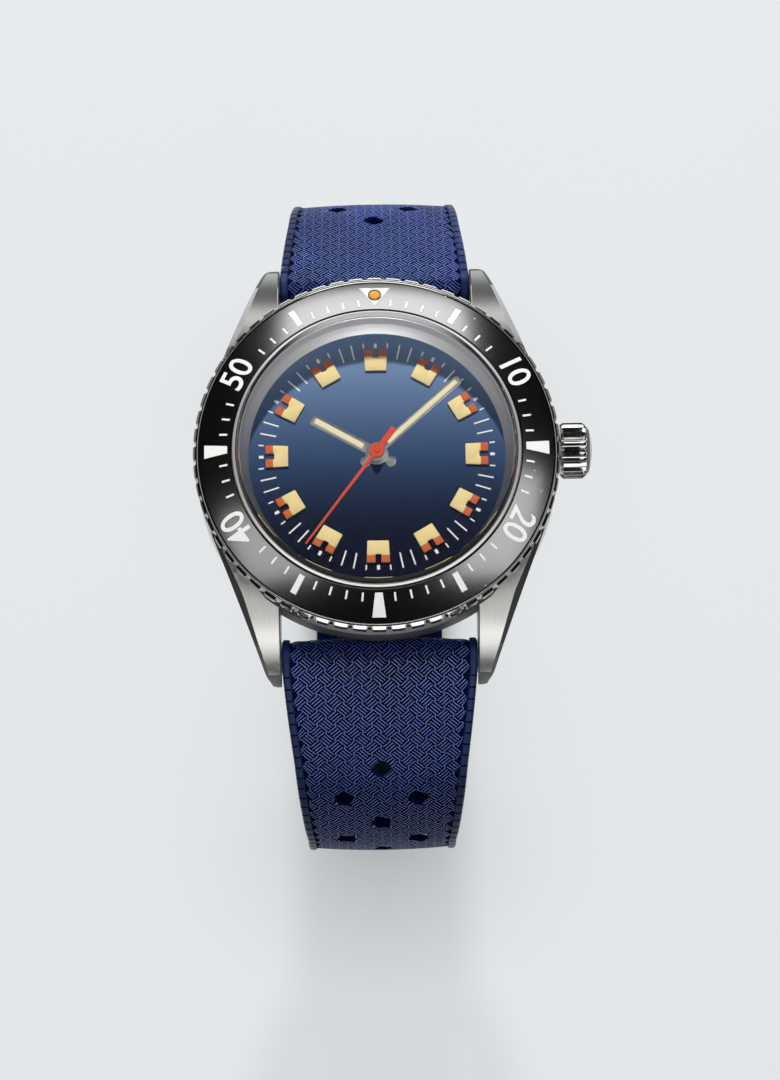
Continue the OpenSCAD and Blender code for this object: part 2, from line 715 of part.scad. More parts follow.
mid_case();
caseback();
caseback_gasket();
crystal();
crystal_gasket();
dial_flange();
dial();
marker_lume();
marker_tips();
crown_tube();
bezel_click_spring();
bezel_wire();
movement_ring();
main_plate();
barrel_bridge();
train_bridge();
balance_cock();
jewels();
bridge_screws();
rotor_bearing();
spring_bar_upper();
spring_bar_lower();
bezel();
bezel_insert();
bezel_pip();
centre_wheel();
cannon_pinion();
minute_hand();
minute_hand_lume();
hour_wheel();
hour_hand();
hour_hand_lume();
fourth_wheel();
seconds_hand();
third_wheel();
barrel();
mainspring();
ratchet_wheel();
minute_wheel();
escape_wheel();
pallet_fork();
balance_wheel();
hairspring();
crown_wheel();
click();
sliding_pinion();
winding_pinion();
crown();
crown_gasket();
winding_stem();
rotor();
strap_short();
strap_long();
buckle();
buckle_bar();
buckle_tang();
keeper_fixed();
keeper_loose();
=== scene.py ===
import json
import math

import bmesh
import bpy
import numpy as np
from bpy.props import FloatProperty, FloatVectorProperty, IntProperty, PointerProperty
from mathutils import Matrix, Vector

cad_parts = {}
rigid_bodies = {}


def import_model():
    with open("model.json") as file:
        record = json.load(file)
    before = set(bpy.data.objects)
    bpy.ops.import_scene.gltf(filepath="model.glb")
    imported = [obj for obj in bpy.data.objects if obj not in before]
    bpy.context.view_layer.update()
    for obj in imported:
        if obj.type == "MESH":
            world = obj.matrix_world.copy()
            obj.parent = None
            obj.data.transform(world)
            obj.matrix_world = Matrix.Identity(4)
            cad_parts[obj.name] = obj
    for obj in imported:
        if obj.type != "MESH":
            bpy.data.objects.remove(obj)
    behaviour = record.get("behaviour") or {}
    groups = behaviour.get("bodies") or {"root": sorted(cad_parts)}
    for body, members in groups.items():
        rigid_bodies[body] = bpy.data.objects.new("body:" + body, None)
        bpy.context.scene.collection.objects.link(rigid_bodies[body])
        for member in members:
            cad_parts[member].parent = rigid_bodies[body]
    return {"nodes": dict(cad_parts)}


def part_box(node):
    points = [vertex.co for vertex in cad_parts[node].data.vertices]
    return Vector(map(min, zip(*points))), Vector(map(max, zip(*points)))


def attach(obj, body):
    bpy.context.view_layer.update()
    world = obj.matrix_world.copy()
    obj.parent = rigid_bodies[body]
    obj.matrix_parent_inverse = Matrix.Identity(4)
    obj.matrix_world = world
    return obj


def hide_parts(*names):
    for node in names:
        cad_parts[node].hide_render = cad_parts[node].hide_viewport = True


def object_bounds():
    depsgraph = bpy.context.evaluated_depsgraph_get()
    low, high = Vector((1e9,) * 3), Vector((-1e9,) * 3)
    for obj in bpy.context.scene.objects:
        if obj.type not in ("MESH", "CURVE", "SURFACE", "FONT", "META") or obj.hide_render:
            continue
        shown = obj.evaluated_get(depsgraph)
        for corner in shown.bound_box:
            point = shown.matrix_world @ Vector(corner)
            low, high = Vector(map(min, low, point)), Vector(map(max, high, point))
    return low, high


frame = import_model()
CAD_BOX = [list(corner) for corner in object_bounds()]

bl_info = {
    "name": "Dive watch",
    "version": (1, 0, 0),
    "blender": (4, 5, 0),
    "location": "View3D > Sidebar > Watch",
    "description": "Models and finishes the visible pieces of a dive watch over its packed solids",
    "category": "Object",
}

MM = 0.001
HALF_TURN = math.pi
BEZEL_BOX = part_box("bezel")
STRAP_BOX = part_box("strap_long")
INSERT_SLOPE = math.tan(math.radians(18.9))


def linear(text):
    """sRGB hex text as linear red, green and blue."""
    parts = [int(text[i:i + 2], 16) / 255 for i in (1, 3, 5)]
    return tuple(c / 12.92 if c <= 0.04045 else ((c + 0.055) / 1.055) ** 2.4 for c in parts)


def paint(name, description, text):
    """A colour that a user may change, from its hex text."""
    return FloatVectorProperty(
        name=name, description=description, subtype="COLOR", size=3, min=0, max=1, default=linear(text))


def length(name, description, value):
    """A size in millimetres, kept in metres."""
    return FloatProperty(name=name, description=description, default=value * MM, min=0, unit="LENGTH", precision=5)


class WatchCaseSizes(bpy.types.PropertyGroup):
    """Sizes of the steel case."""

    flank: length("Flank radius", "Radius of the case's side", 18.86)
    shoulder: length("Shoulder height", "Height of the flat top under the turning ring", 7.6)
    lug_inside: length("Lug inside", "Distance from the middle to a lug's inner face", 10.2)
    chamfer: length("Lug chamfer", "Widest part of the polished edge on a lug", 0.72)


class WatchBezelSizes(bpy.types.PropertyGroup):
    """Sizes of the turning ring."""

    rim: FloatProperty(
        name="Rim radius", description="Radius of the notched grip", default=BEZEL_BOX[1].x, unit="LENGTH", precision=5)
    notches: IntProperty(name="Notches", description="Number of grip notches", default=60, min=12, max=120)
    notch: length("Notch radius", "Radius of one grip notch", 0.33)
    print_height: length("Print height", "How far the white print stands above the ring", 0.035)


class WatchStrapSizes(bpy.types.PropertyGroup):
    """Sizes of the rubber strap."""

    band: length("Edge band", "Width of the raised band along each edge", 0.85)
    band_rise: length("Band rise", "How far the band stands above the woven face", 0.38)
    crown: length("Face crown", "How far the middle of the face swells", 0.3)
    rib_pitch: length("Rib pitch", "Distance between the grooves of the edge band", 1.28)
    weave_across: length("Weave across", "Width of one weave repeat", 1.89)
    weave_along: length("Weave along", "Length of one weave repeat", 1.71)
    bar_length: length("Bar length", "Length of one raised bar of the weave", 1.36)
    bar_pitch: length("Bar pitch", "Distance between neighbouring bars", 0.315)


class WatchColours(bpy.types.PropertyGroup):
    """Colours of the painted, moulded and plated pieces."""

    # painted light and shade: the bar tops are given a light blue and the ground between the bars a near black, lit and
    # shaded tones of the one rubber
    rubber: paint("Strap rubber", "Raised parts of the strap", "#4769c9")
    rubber_gap: paint("Strap gaps", "Ground between the strap's raised bars", "#09143f")
    # painted fade: the dial colours go from lighter at twelve to near black at six, light falling from twelve painted
    # in with the lacquer's tone
    dial_top: paint("Dial at twelve", "Lighter end of the dial's lacquer", "#6c83a6")
    dial_middle: paint("Dial centre", "The dial's lacquer at its middle", "#344766")
    dial_low: paint("Dial at six", "Darker end of the dial's lacquer", "#111320")
    insert: paint("Ring insert", "Glazed black ring", "#040405")
    white: paint("White print", "Print on ring and dial", "#e8e8e4")
    lume: paint("Lume", "Cream lume of the hour plots", "#e8d193")
    hand_lume: paint("Hand lume", "Paler lume of the hands", "#e6dcb6")
    tips: paint("Plot tips", "Orange tips of the hour plots", "#c2602f")
    seconds: paint("Seconds hand", "Enamel of the seconds hand", "#cf4a2e")
    pip: paint("Pip", "Lume dot of the ring", "#e8a344")
    steel: paint("Steel", "Stainless steel", "#c9c8c5")
    floor: paint("Floor", "Pale studio floor", "#b4b8ba")


def add(tree, kind, values=None, links=None, **settings):
    """Adds a node with its settings, socket values and links."""
    node = tree.nodes.new(kind)
    for key, value in settings.items():
        setattr(node, key, value)
    for key, value in (values or {}).items():
        node.inputs[key].default_value = value
    for key, socket in (links or {}).items():
        tree.links.new(socket, node.inputs[key])
    return node


def colour(name):
    """A colour of the settings with full alpha."""
    return (*getattr(bpy.context.scene.watch_colours, name), 1)


def shade_of(rgba, factor):
    """The same colour, lighter or darker."""
    return (*(min(1, c * factor) for c in rgba[:3]), 1)


def begin_finish(name):
    """An empty material with one principled shader, and its object coordinates."""
    made = bpy.data.materials.get(name)
    if made:
        bpy.data.materials.remove(made)
    material = bpy.data.materials.new(name)
    material.use_nodes = True
    tree = material.node_tree
    tree.nodes.clear()
    shader = add(tree, "ShaderNodeBsdfPrincipled")
    add(tree, "ShaderNodeOutputMaterial", links={"Surface": shader.outputs["BSDF"]})
    place = add(tree, "ShaderNodeTexCoord").outputs["Object"]
    return material, tree, shader, place


def vary(tree, shader, grain, dark, light, smooth, rough, relief):
    """Lets one grain drive colour, roughness and a fine relief."""
    ramp = add(tree, "ShaderNodeMix", {"A": dark, "B": light}, {"Factor": grain}, data_type="RGBA")
    tree.links.new(ramp.outputs["Result"], shader.inputs["Base Color"])
    gloss = add(tree, "ShaderNodeMapRange", {"To Min": smooth, "To Max": rough}, {"Value": grain})
    tree.links.new(gloss.outputs["Result"], shader.inputs["Roughness"])
    if relief:
        bump = add(
            tree, "ShaderNodeBump", {"Strength": relief[0], "Distance": relief[1] * MM}, {"Height": grain})
        tree.links.new(bump.outputs["Normal"], shader.inputs["Normal"])


def grain_of(tree, place, cells, detail=2.0, rough=0.55):
    """Noise whose cell is given in millimetres along X, Y and Z."""
    mapped = add(
        tree, "ShaderNodeMapping", {"Scale": tuple(1 / (c * MM) for c in cells)}, {"Vector": place})
    noise = add(
        tree, "ShaderNodeTexNoise", {"Scale": 1.0, "Detail": detail, "Roughness": rough},
        {"Vector": mapped.outputs["Vector"]})
    return noise.outputs["Fac"]


def brushed_steel():
    """316L stainless steel, brushed along the strap: fine straight scratches that blur the light one way."""
    material, tree, shader, place = begin_finish("brushed stainless steel")
    shader.inputs["Metallic"].default_value = 1.0
    steel = colour("steel")
    # real scratches are finer than 0.05 mm, drawn at 0.13 mm so that they show
    grain = grain_of(tree, place, (0.13, 7.0, 0.5), 3.0, 0.6)
    vary(tree, shader, grain, shade_of(steel, 0.8), shade_of(steel, 1.08), 0.27, 0.4, (0.2, 0.012))
    return material


def polished_steel():
    """316L stainless steel, mirror polished: clear reflections with a trace of handling haze."""
    material, tree, shader, place = begin_finish("polished stainless steel")
    shader.inputs["Metallic"].default_value = 1.0
    steel = colour("steel")
    grain = grain_of(tree, place, (1.7, 1.7, 1.7), 4.0, 0.6)
    vary(tree, shader, grain, shade_of(steel, 0.94), shade_of(steel, 1.05), 0.06, 0.14, None)
    return material


def scale_tone(tree, shader, factor):
    """Dims the colour that a finish already has by a factor that varies over the piece: painted shade."""
    tone = shader.inputs["Base Color"].links[0].from_socket
    dim = add(tree, "ShaderNodeVectorMath", links={0: tone, "Scale": factor}, operation="SCALE")
    tree.links.new(dim.outputs["Vector"], shader.inputs["Base Color"])


def ring_steel():
    """Polished 316L steel of the turning ring and neck: bright at twelve and six, and greyed at its two sides by
    painted shade.
    """
    material, tree, shader, place = begin_finish("polished ring steel")
    shader.inputs["Metallic"].default_value = 1.0
    steel = colour("steel")
    grain = grain_of(tree, place, (1.7, 1.7, 1.7), 4.0, 0.6)
    vary(tree, shader, grain, shade_of(steel, 0.94), shade_of(steel, 1.05), 0.08, 0.16, None)
    split = add(tree, "ShaderNodeSeparateXYZ", links={"Vector": place})
    side = add(tree, "ShaderNodeMath", links={0: split.outputs["X"]}, operation="ABSOLUTE")
    # painted shade: the colour is dimmed to less than half at either side, standing in for the dark room that the steel
    # mirrors there
    room = add(
        tree, "ShaderNodeMapRange", {"From Min": 8 * MM, "From Max": 15 * MM, "To Min": 1.0, "To Max": 0.42},
        {"Value": side.outputs["Value"]}, interpolation_type="SMOOTHSTEP")
    scale_tone(tree, shader, room.outputs["Result"])
    return material


def satin_silver():
    """Rhodium-plated hands: a fine satin silver that stays pale from most sides."""
    material, tree, shader, place = begin_finish("satin rhodium")
    shader.inputs["Metallic"].default_value = 0.85
    grain = grain_of(tree, place, (0.1, 0.1, 0.1), 3.0, 0.6)
    vary(tree, shader, grain, (*linear("#a4a5a6"), 1), (*linear("#bfbfbe"), 1), 0.3, 0.42, (0.08, 0.004))
    return material


def silver_paint():
    """Silvered ring around the dial: a pale even satin that takes the light softly."""
    material, tree, shader, place = begin_finish("silvered brass")
    shader.inputs["Metallic"].default_value = 0.55
    grain = grain_of(tree, place, (0.15, 0.15, 0.15), 3.0, 0.6)
    vary(tree, shader, grain, (*linear("#cacac8"), 1), (*linear("#dadad8"), 1), 0.4, 0.5, (0.06, 0.004))
    return material


def turned_steel():
    """Lathe-turned stainless steel: circular tool marks around the axis."""
    material, tree, shader, place = begin_finish("turned stainless steel")
    shader.inputs["Metallic"].default_value = 1.0
    steel = colour("steel")
    flat = add(tree, "ShaderNodeVectorMath", {1: (1, 1, 0)}, {0: place}, operation="MULTIPLY")
    radius = add(tree, "ShaderNodeVectorMath", links={0: flat.outputs["Vector"]}, operation="LENGTH")
    # tool marks every 0.12 mm
    rings = add(
        tree, "ShaderNodeTexNoise", {"Scale": 1 / (0.12 * MM), "Detail": 2.0},
        {"W": radius.outputs["Value"]}, noise_dimensions="1D")
    vary(
        tree, shader, rings.outputs["Fac"], shade_of(steel, 0.8), shade_of(steel, 1.05), 0.2, 0.36, (0.2, 0.01))
    return material


def metal(name, dark, light, cell, smooth, rough):
    """A plain metal of the movement, with a soft directional grain."""
    material, tree, shader, place = begin_finish(name)
    shader.inputs["Metallic"].default_value = 1.0
    grain = grain_of(tree, place, cell, 3.0, 0.6)
    vary(tree, shader, grain, (*linear(dark), 1), (*linear(light), 1), smooth, rough, (0.12, 0.006))
    return material


def glazed_black():
    """Lacquered black insert: deep black under a hard coat with strong soft reflections and a faint ripple."""
    material, tree, shader, place = begin_finish("black lacquered insert")
    shader.inputs["IOR"].default_value = 2.6
    black = colour("insert")
    grain = grain_of(tree, place, (2.4, 2.4, 2.4), 3.0, 0.5)
    vary(tree, shader, grain, shade_of(black, 0.6), shade_of(black, 1.5), 0.17, 0.21, (0.05, 0.01))
    return material


def flat_paint(name, tone, cell, smooth, rough, relief):
    """Pad-printed or sprayed paint with a fine mottled surface."""
    material, tree, shader, place = begin_finish(name)
    grain = grain_of(tree, place, (cell, cell, cell), 3.0, 0.6)
    vary(tree, shader, grain, shade_of(tone, 0.9), shade_of(tone, 1.06), smooth, rough, relief)
    return material


def lume_paste(name, tone):
    """Strontium aluminate lume in resin: a matt, slightly grainy cream that glows a little under light."""
    material, tree, shader, place = begin_finish(name)
    shader.inputs["Subsurface Weight"].default_value = 0.12
    shader.inputs["Subsurface Radius"].default_value = (0.0003, 0.0002, 0.0001)
    shader.inputs["Subsurface Scale"].default_value = 1.0
    grain = grain_of(tree, place, (0.16, 0.16, 0.16), 3.0, 0.65)
    vary(tree, shader, grain, shade_of(tone, 0.9), shade_of(tone, 1.07), 0.5, 0.68, (0.25, 0.02))
    return material


def sunray_lacquer():
    """Sunray-brushed brass under blue lacquer: fine rays from the middle, and a painted fade from lighter at twelve to
    dark at six, which holds light falling from twelve as well as the lacquer's tone.
    """
    material, tree, shader, place = begin_finish("blue sunray lacquer")
    shader.inputs["Specular IOR Level"].default_value = 0.0
    shader.inputs["Roughness"].default_value = 0.4
    flat = add(tree, "ShaderNodeVectorMath", {1: (1, 1, 0)}, {0: place}, operation="MULTIPLY")
    ray = add(tree, "ShaderNodeVectorMath", links={0: flat.outputs["Vector"]}, operation="NORMALIZE")
    # rays about 0.2 mm wide near the rim
    rays = add(
        tree, "ShaderNodeTexNoise", {"Scale": 60.0, "Detail": 2.0, "Roughness": 0.6},
        {"Vector": ray.outputs["Vector"]})
    height = add(tree, "ShaderNodeSeparateXYZ", links={"Vector": place}).outputs["Y"]
    # painted fade: dark at six through the middle to light at twelve, light from twelve painted in together with the
    # lacquer's own tone
    tone = add(tree, "ShaderNodeRGB").outputs["Color"]
    tone.default_value = colour("dial_low")
    for start, end, power, shade in ((-12.5, 0, 2.6, "dial_middle"), (0, 10, 1.2, "dial_top")):
        share = add(
            tree, "ShaderNodeMapRange", {"From Min": start * MM, "From Max": end * MM}, {"Value": height})
        fade = add(tree, "ShaderNodeMath", {1: power}, {0: share.outputs["Result"]}, operation="POWER")
        blend = add(
            tree, "ShaderNodeMix", {"B": colour(shade)}, {"Factor": fade.outputs["Value"], "A": tone},
            data_type="RGBA")
        tone = blend.outputs["Result"]
    shine = add(tree, "ShaderNodeMapRange", {"To Min": 0.93, "To Max": 1.07}, {"Value": rays.outputs["Fac"]})
    rays_on_painted_fade = add(
        tree, "ShaderNodeVectorMath", links={0: tone, 1: shine.outputs["Result"]}, operation="MULTIPLY")
    tree.links.new(rays_on_painted_fade.outputs["Vector"], shader.inputs["Base Color"])
    return material


def let_light_through(tree, shader):
    """Shadow rays pass the finish, so that the lamps reach what lies under the crystal."""
    clear = add(tree, "ShaderNodeBsdfTransparent")
    path = add(tree, "ShaderNodeLightPath")
    both = add(
        tree, "ShaderNodeMixShader",
        links={0: path.outputs["Is Shadow Ray"], 1: shader.outputs["BSDF"], 2: clear.outputs["BSDF"]})
    target = next(n for n in tree.nodes if n.type == "OUTPUT_MATERIAL")
    tree.links.new(both.outputs["Shader"], target.inputs["Surface"])


def sapphire():
    """Coated sapphire: bends what lies under it, with a faint bluish film, and lets the lamps through."""
    material, tree, shader, place = begin_finish("sapphire crystal")
    shader.inputs["Transmission Weight"].default_value = 1.0
    shader.inputs["IOR"].default_value = 1.7
    shader.inputs["Specular Tint"].default_value = (0.02, 0.025, 0.04, 1)
    grain = grain_of(tree, place, (6.0, 6.0, 6.0), 2.0, 0.5)
    gloss = add(tree, "ShaderNodeMapRange", {"To Min": 0.0, "To Max": 0.012}, {"Value": grain})
    tree.links.new(gloss.outputs["Result"], shader.inputs["Roughness"])
    tint = add(
        tree, "ShaderNodeMix", {"A": (0.97, 0.98, 1.0, 1), "B": (1, 1, 1, 1)}, {"Factor": grain}, data_type="RGBA")
    tree.links.new(tint.outputs["Result"], shader.inputs["Base Color"])
    let_light_through(tree, shader)
    return material


def ground_edge():
    """Ground rim of the crystal: frosted and pale, with painted shade that darkens it away from twelve, and the lamps
    still pass.
    """
    material, tree, shader, place = begin_finish("ground sapphire")
    shader.inputs["Specular IOR Level"].default_value = 0.0
    grain = grain_of(tree, place, (0.2, 0.2, 0.2), 2.0, 0.5)
    pale = (*linear("#dededc"), 1)
    vary(tree, shader, grain, shade_of(pale, 0.94), shade_of(pale, 1.04), 0.6, 0.75, None)
    split = add(tree, "ShaderNodeSeparateXYZ", links={"Vector": place})
    # painted shade: the pale frosting is dimmed to 0.06 of its tone away from twelve, standing in for the dark
    # surroundings that the rim shows there
    fine = add(
        tree, "ShaderNodeMapRange", {"From Min": 10.3 * MM, "From Max": 13.8 * MM, "To Min": 0.06, "To Max": 1.0},
        {"Value": split.outputs["Y"]}, interpolation_type="SMOOTHSTEP")
    scale_tone(tree, shader, fine.outputs["Result"])
    let_light_through(tree, shader)
    return material


def moulded_rubber(name, tone, smooth, rough, gloss):
    """Moulded FKM rubber with a satin sheen; the strap takes it in a light tone, painted light on the raised bars, and
    a dark one, painted shade in the gaps.
    """
    material, tree, shader, place = begin_finish(name)
    shader.inputs["Specular IOR Level"].default_value = gloss
    cloud = grain_of(tree, place, (4.0, 4.0, 4.0), 2.0, 0.5)
    skin = grain_of(tree, place, (0.14, 0.14, 0.14), 3.0, 0.6)
    blend = add(tree, "ShaderNodeMath", {1: 0.5}, {0: cloud}, operation="MULTIPLY")
    grain = add(tree, "ShaderNodeMath", {1: 0.5}, {0: skin, 2: blend.outputs["Value"]}, operation="MULTIPLY_ADD")
    vary(
        tree, shader, grain.outputs["Value"], shade_of(tone, 0.8), shade_of(tone, 1.15), smooth, rough, (0.18, 0.015))
    return material


FINISHES = {
    "brushed": brushed_steel,
    "polished": polished_steel,
    "turned": turned_steel,
    "satin": satin_silver,
    "silvered": silver_paint,
    "black": glazed_black,
    "dial": sunray_lacquer,
    "crystal": sapphire,
    # pad print, about 0.02 mm thick: an even matt white
    "white": lambda: flat_paint("white pad print", colour("white"), 0.3, 0.42, 0.55, (0.1, 0.01)),
    # enamel on the plot tips and the seconds hand: an even satin colour
    "tips": lambda: flat_paint("orange enamel", colour("tips"), 0.3, 0.36, 0.5, (0.1, 0.01)),
    "seconds": lambda: flat_paint("red enamel", colour("seconds"), 0.3, 0.3, 0.42, (0.08, 0.01)),
    "lume": lambda: lume_paste("cream lume", colour("lume")),
    "hand lume": lambda: lume_paste("pale lume", colour("hand_lume")),
    "pip": lambda: lume_paste("amber lume", colour("pip")),
    # painted light and shade: the raised bars take the light blue rubber, and the ground and flanks between them the
    # near black one
    "rubber": lambda: moulded_rubber("blue moulded rubber", colour("rubber"), 0.26, 0.4, 0.6),
    "gap": lambda: moulded_rubber("dark moulded rubber", colour("rubber_gap"), 0.5, 0.7, 0.02),
    "band": lambda: moulded_rubber("navy moulded rubber", shade_of(colour("rubber"), 0.2), 0.25, 0.4, 0.15),
    "ground edge": ground_edge,
    # black nitrile seals: matt with a faint bloom
    "seal": lambda: flat_paint("black nitrile rubber", (*linear("#191a1c"), 1), 0.4, 0.5, 0.7, (0.2, 0.02)),
    "ring": ring_steel,
    # painted shade: a dull dark grey steel for the lug ends, the crown's end and the flank between the lugs, where the
    # faces lie in shade or mirror dark surroundings
    "painted shade": lambda: metal("blasted stainless steel", "#666664", "#848482", (0.1, 0.1, 0.1), 0.42, 0.55),
    # movement steel, grained straight
    "movement steel": lambda: metal("grained movement steel", "#a3a4a6", "#c3c4c6", (0.09, 2.0, 0.5), 0.24, 0.4),
    # rhodium-plated brass of the plates: pale with a soft frosted grain
    "plated": lambda: metal("rhodium plated brass", "#b4b2ad", "#d2d0ca", (0.2, 0.2, 0.2), 0.3, 0.42),
    # lacquered brass of the wheels: warm yellow with circular wear
    "brass": lambda: metal("lacquered brass", "#a9803c", "#c99f55", (0.12, 0.8, 0.5), 0.22, 0.38),
    # heat-blued spring steel
    "blued": lambda: metal("blued spring steel", "#1b2c66", "#2f4790", (0.3, 0.3, 0.3), 0.18, 0.3),
    # synthetic ruby of the bearings
    "ruby": lambda: flat_paint("synthetic ruby", (*linear("#8f0f2e"), 1), 0.5, 0.08, 0.16, None),
}
MADE = {}


def finish(key):
    """The material of that key, made once."""
    if key not in MADE:
        MADE[key] = FINISHES[key]()
    return MADE[key]


def clear_selection():
    """Object mode with nothing selected."""
    if bpy.context.mode != "OBJECT":
        bpy.ops.object.mode_set(mode="OBJECT")
    bpy.ops.object.select_all(action="DESELECT")


def select_only(piece):
    """Makes one piece the selected and active one."""
    clear_selection()
    piece.select_set(True)
    bpy.context.view_layer.objects.active = piece


def close_mesh(piece, holes=True):
    """Merges doubles, fills open ends and turns every face outwards."""
    select_only(piece)
    bpy.ops.object.mode_set(mode="EDIT")
    bpy.ops.mesh.select_all(action="SELECT")
    bpy.ops.mesh.remove_doubles(threshold=2e-7)
    bpy.ops.mesh.delete_loose(use_verts=True, use_edges=True, use_faces=False)
    if holes:
        bpy.ops.mesh.select_all(action="SELECT")
        bpy.ops.mesh.fill_holes(sides=0)
    bpy.ops.mesh.select_all(action="SELECT")
    bpy.ops.mesh.normals_make_consistent(inside=False)
    bpy.ops.object.mode_set(mode="OBJECT")


def turned(name, profile, steps=240):
    """Spins a closed profile of (radius, height) pairs about the Z axis."""
    clear_selection()
    bpy.ops.mesh.primitive_circle_add(vertices=len(profile), radius=MM, fill_type="NOTHING")
    piece = bpy.context.object
    piece.name = name
    for vertex, (radius, height) in zip(piece.data.vertices, profile):
        vertex.co = (radius * MM, 0, height * MM)
    bpy.ops.object.mode_set(mode="EDIT")
    bpy.ops.mesh.select_all(action="SELECT")
    bpy.ops.mesh.spin(steps=steps, dupli=False, angle=2 * HALF_TURN, center=(0, 0, 0), axis=(0, 0, 1))
    bpy.ops.object.mode_set(mode="OBJECT")
    close_mesh(piece, holes=False)
    return piece


def skin(name, rows, round_row=True, round_way=False):
    """Stretches a grid over rows of points in millimetres, and closes it."""
    rows = np.asarray(rows, float)
    if round_row:
        rows = np.concatenate([rows, rows[:, :1]], axis=1)
    if round_way:
        rows = np.concatenate([rows, rows[:1]], axis=0)
    count, wide = rows.shape[:2]
    clear_selection()
    bpy.ops.mesh.primitive_grid_add(x_subdivisions=wide - 1, y_subdivisions=count - 1, size=2)
    piece = bpy.context.object
    piece.name = name
    flat = np.empty(len(piece.data.vertices) * 3, np.float32)
    piece.data.vertices.foreach_get("co", flat)
    flat = flat.reshape(-1, 3)
    column = np.rint((flat[:, 0] + 1) / 2 * (wide - 1)).astype(int)
    row = np.rint((flat[:, 1] + 1) / 2 * (count - 1)).astype(int)
    piece.data.vertices.foreach_set("co", (rows[row, column] * MM).astype(np.float32).ravel())
    piece.data.update()
    close_mesh(piece)
    return piece


def plate(name, outline, low, high):
    """Extrudes a flat outline in millimetres from one height to another."""
    clear_selection()
    bpy.ops.mesh.primitive_circle_add(vertices=len(outline), radius=MM, fill_type="NGON")
    piece = bpy.context.object
    piece.name = name
    for vertex, (x, y) in zip(piece.data.vertices, outline):
        vertex.co = (x * MM, y * MM, low * MM)
    bpy.ops.object.mode_set(mode="EDIT")
    bpy.ops.mesh.select_all(action="SELECT")
    bpy.ops.mesh.extrude_region_move(TRANSFORM_OT_translate={"value": (0, 0, (high - low) * MM)})
    bpy.ops.mesh.select_all(action="SELECT")
    bpy.ops.mesh.normals_make_consistent(inside=False)
    bpy.ops.object.mode_set(mode="OBJECT")
    return piece


def soften(piece, width, segments=2, angle=35):
    """Bevels the sharp edges of a piece."""
    select_only(piece)
    modifier = piece.modifiers.new("edges", "BEVEL")
    modifier.width = width * MM
    modifier.segments = segments
    modifier.limit_method = "ANGLE"
    modifier.angle_limit = math.radians(angle)
    modifier.use_clamp_overlap = True
    bpy.ops.object.modifier_apply(modifier=modifier.name)


def cut(piece, tool):
    """Takes the tool's solid away from a piece."""
    select_only(piece)
    modifier = piece.modifiers.new("cut", "BOOLEAN")
    modifier.operation = "DIFFERENCE"
    modifier.solver = "EXACT"
    modifier.object = tool
    bpy.ops.object.modifier_apply(modifier=modifier.name)
    bpy.data.meshes.remove(tool.data)


def merge(name, pieces):
    """Joins pieces into one."""
    clear_selection()
    for piece in pieces:
        piece.select_set(True)
    bpy.context.view_layer.objects.active = pieces[0]
    bpy.ops.object.join()
    pieces[0].name = name
    return pieces[0]


def twin(piece, matrix):
    """A copy of a piece with its own mesh, moved by a matrix."""
    copy = piece.copy()
    copy.data = piece.data.copy()
    bpy.context.scene.collection.objects.link(copy)
    copy.data.transform(matrix)
    if matrix.determinant() < 0:
        copy.data.flip_normals()
    return copy


def smooth(piece, angle=32):
    """Smooth shading, with edges sharper than the angle kept crisp."""
    select_only(piece)
    bpy.ops.object.shade_smooth_by_angle(angle=math.radians(angle))


def settle(piece, name, body, keys, nodes=(), angle=32):
    """Names a finished piece, gives it its finishes and puts it on its body."""
    piece.name = name
    piece.data.name = name
    if angle:
        smooth(piece, angle)
    if not piece.data.materials:
        for key in keys:
            piece.data.materials.append(finish(key))
    clear_selection()
    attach(piece, body)
    if nodes:
        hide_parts(*nodes)


def mark_faces(piece, keys, choose):
    """Gives each face the finish whose index choose() returns for its middle and normal in millimetres."""
    piece.data.materials.clear()
    for key in keys:
        piece.data.materials.append(finish(key))
    for face in piece.data.polygons:
        face.material_index = choose(face.center / MM, face.normal)


def lug_top(y):
    """Height of a lug's top at a distance from the middle."""
    if y <= 11.5:
        return 7.6
    end = 11.5 + 14.87 * math.sin(math.radians(40))
    if y <= end:
        return -7.27 + math.sqrt(14.87 ** 2 - (y - 11.5) ** 2)
    return float(np.interp(y, [end, 21.75, 22.25, 22.6, 22.75], [4.12, 3.45, 2.85, 2.1, 1.1]))


def lug_rows():
    """Cross-sections of the lug at the right of twelve, from the flank to the tip."""
    sizes = bpy.context.scene.watch_case
    inside = sizes.lug_inside / MM
    widest = sizes.chamfer / MM
    stations = np.concatenate([
        np.linspace(6.75, 11.5, 7), np.linspace(12, 21, 28), [21.4, 21.75, 22, 22.25, 22.42, 22.55, 22.66, 22.73]])
    rows = []
    for y in stations:
        outer = float(np.interp(y, [6.75, 21.7, 21.95, 22.3, 22.73], [17.61, 11.88, 11.77, 11.55, 11.1]))
        inner = float(np.interp(y, [6.75, 8.9, 13.6], [15.6, 14.5, inside]))
        top = lug_top(y)
        low = float(np.interp(y, [6.75, 16, 21, 22.4, 22.73], [0.95, 0.95, 0.15, 0.15, 0.6]))
        edge = float(np.interp(y, [6.75, 10, 14.5, 19, 21.5, 22.73], [0.35, 0.45, widest, 0.42, 0.34, 0.2]))
        edge = min(edge, (top - low) * 0.4)
        nip = min(0.1, (top - low) * 0.2)
        rows.append([
            (inner, y, low), (inner, y, top - nip), (inner + nip, y, top), (outer - edge, y, top),
            (outer, y, top - edge * 0.74), (outer - 0.4, y, low + nip), (outer - 0.4 - nip, y, low)])
    return rows


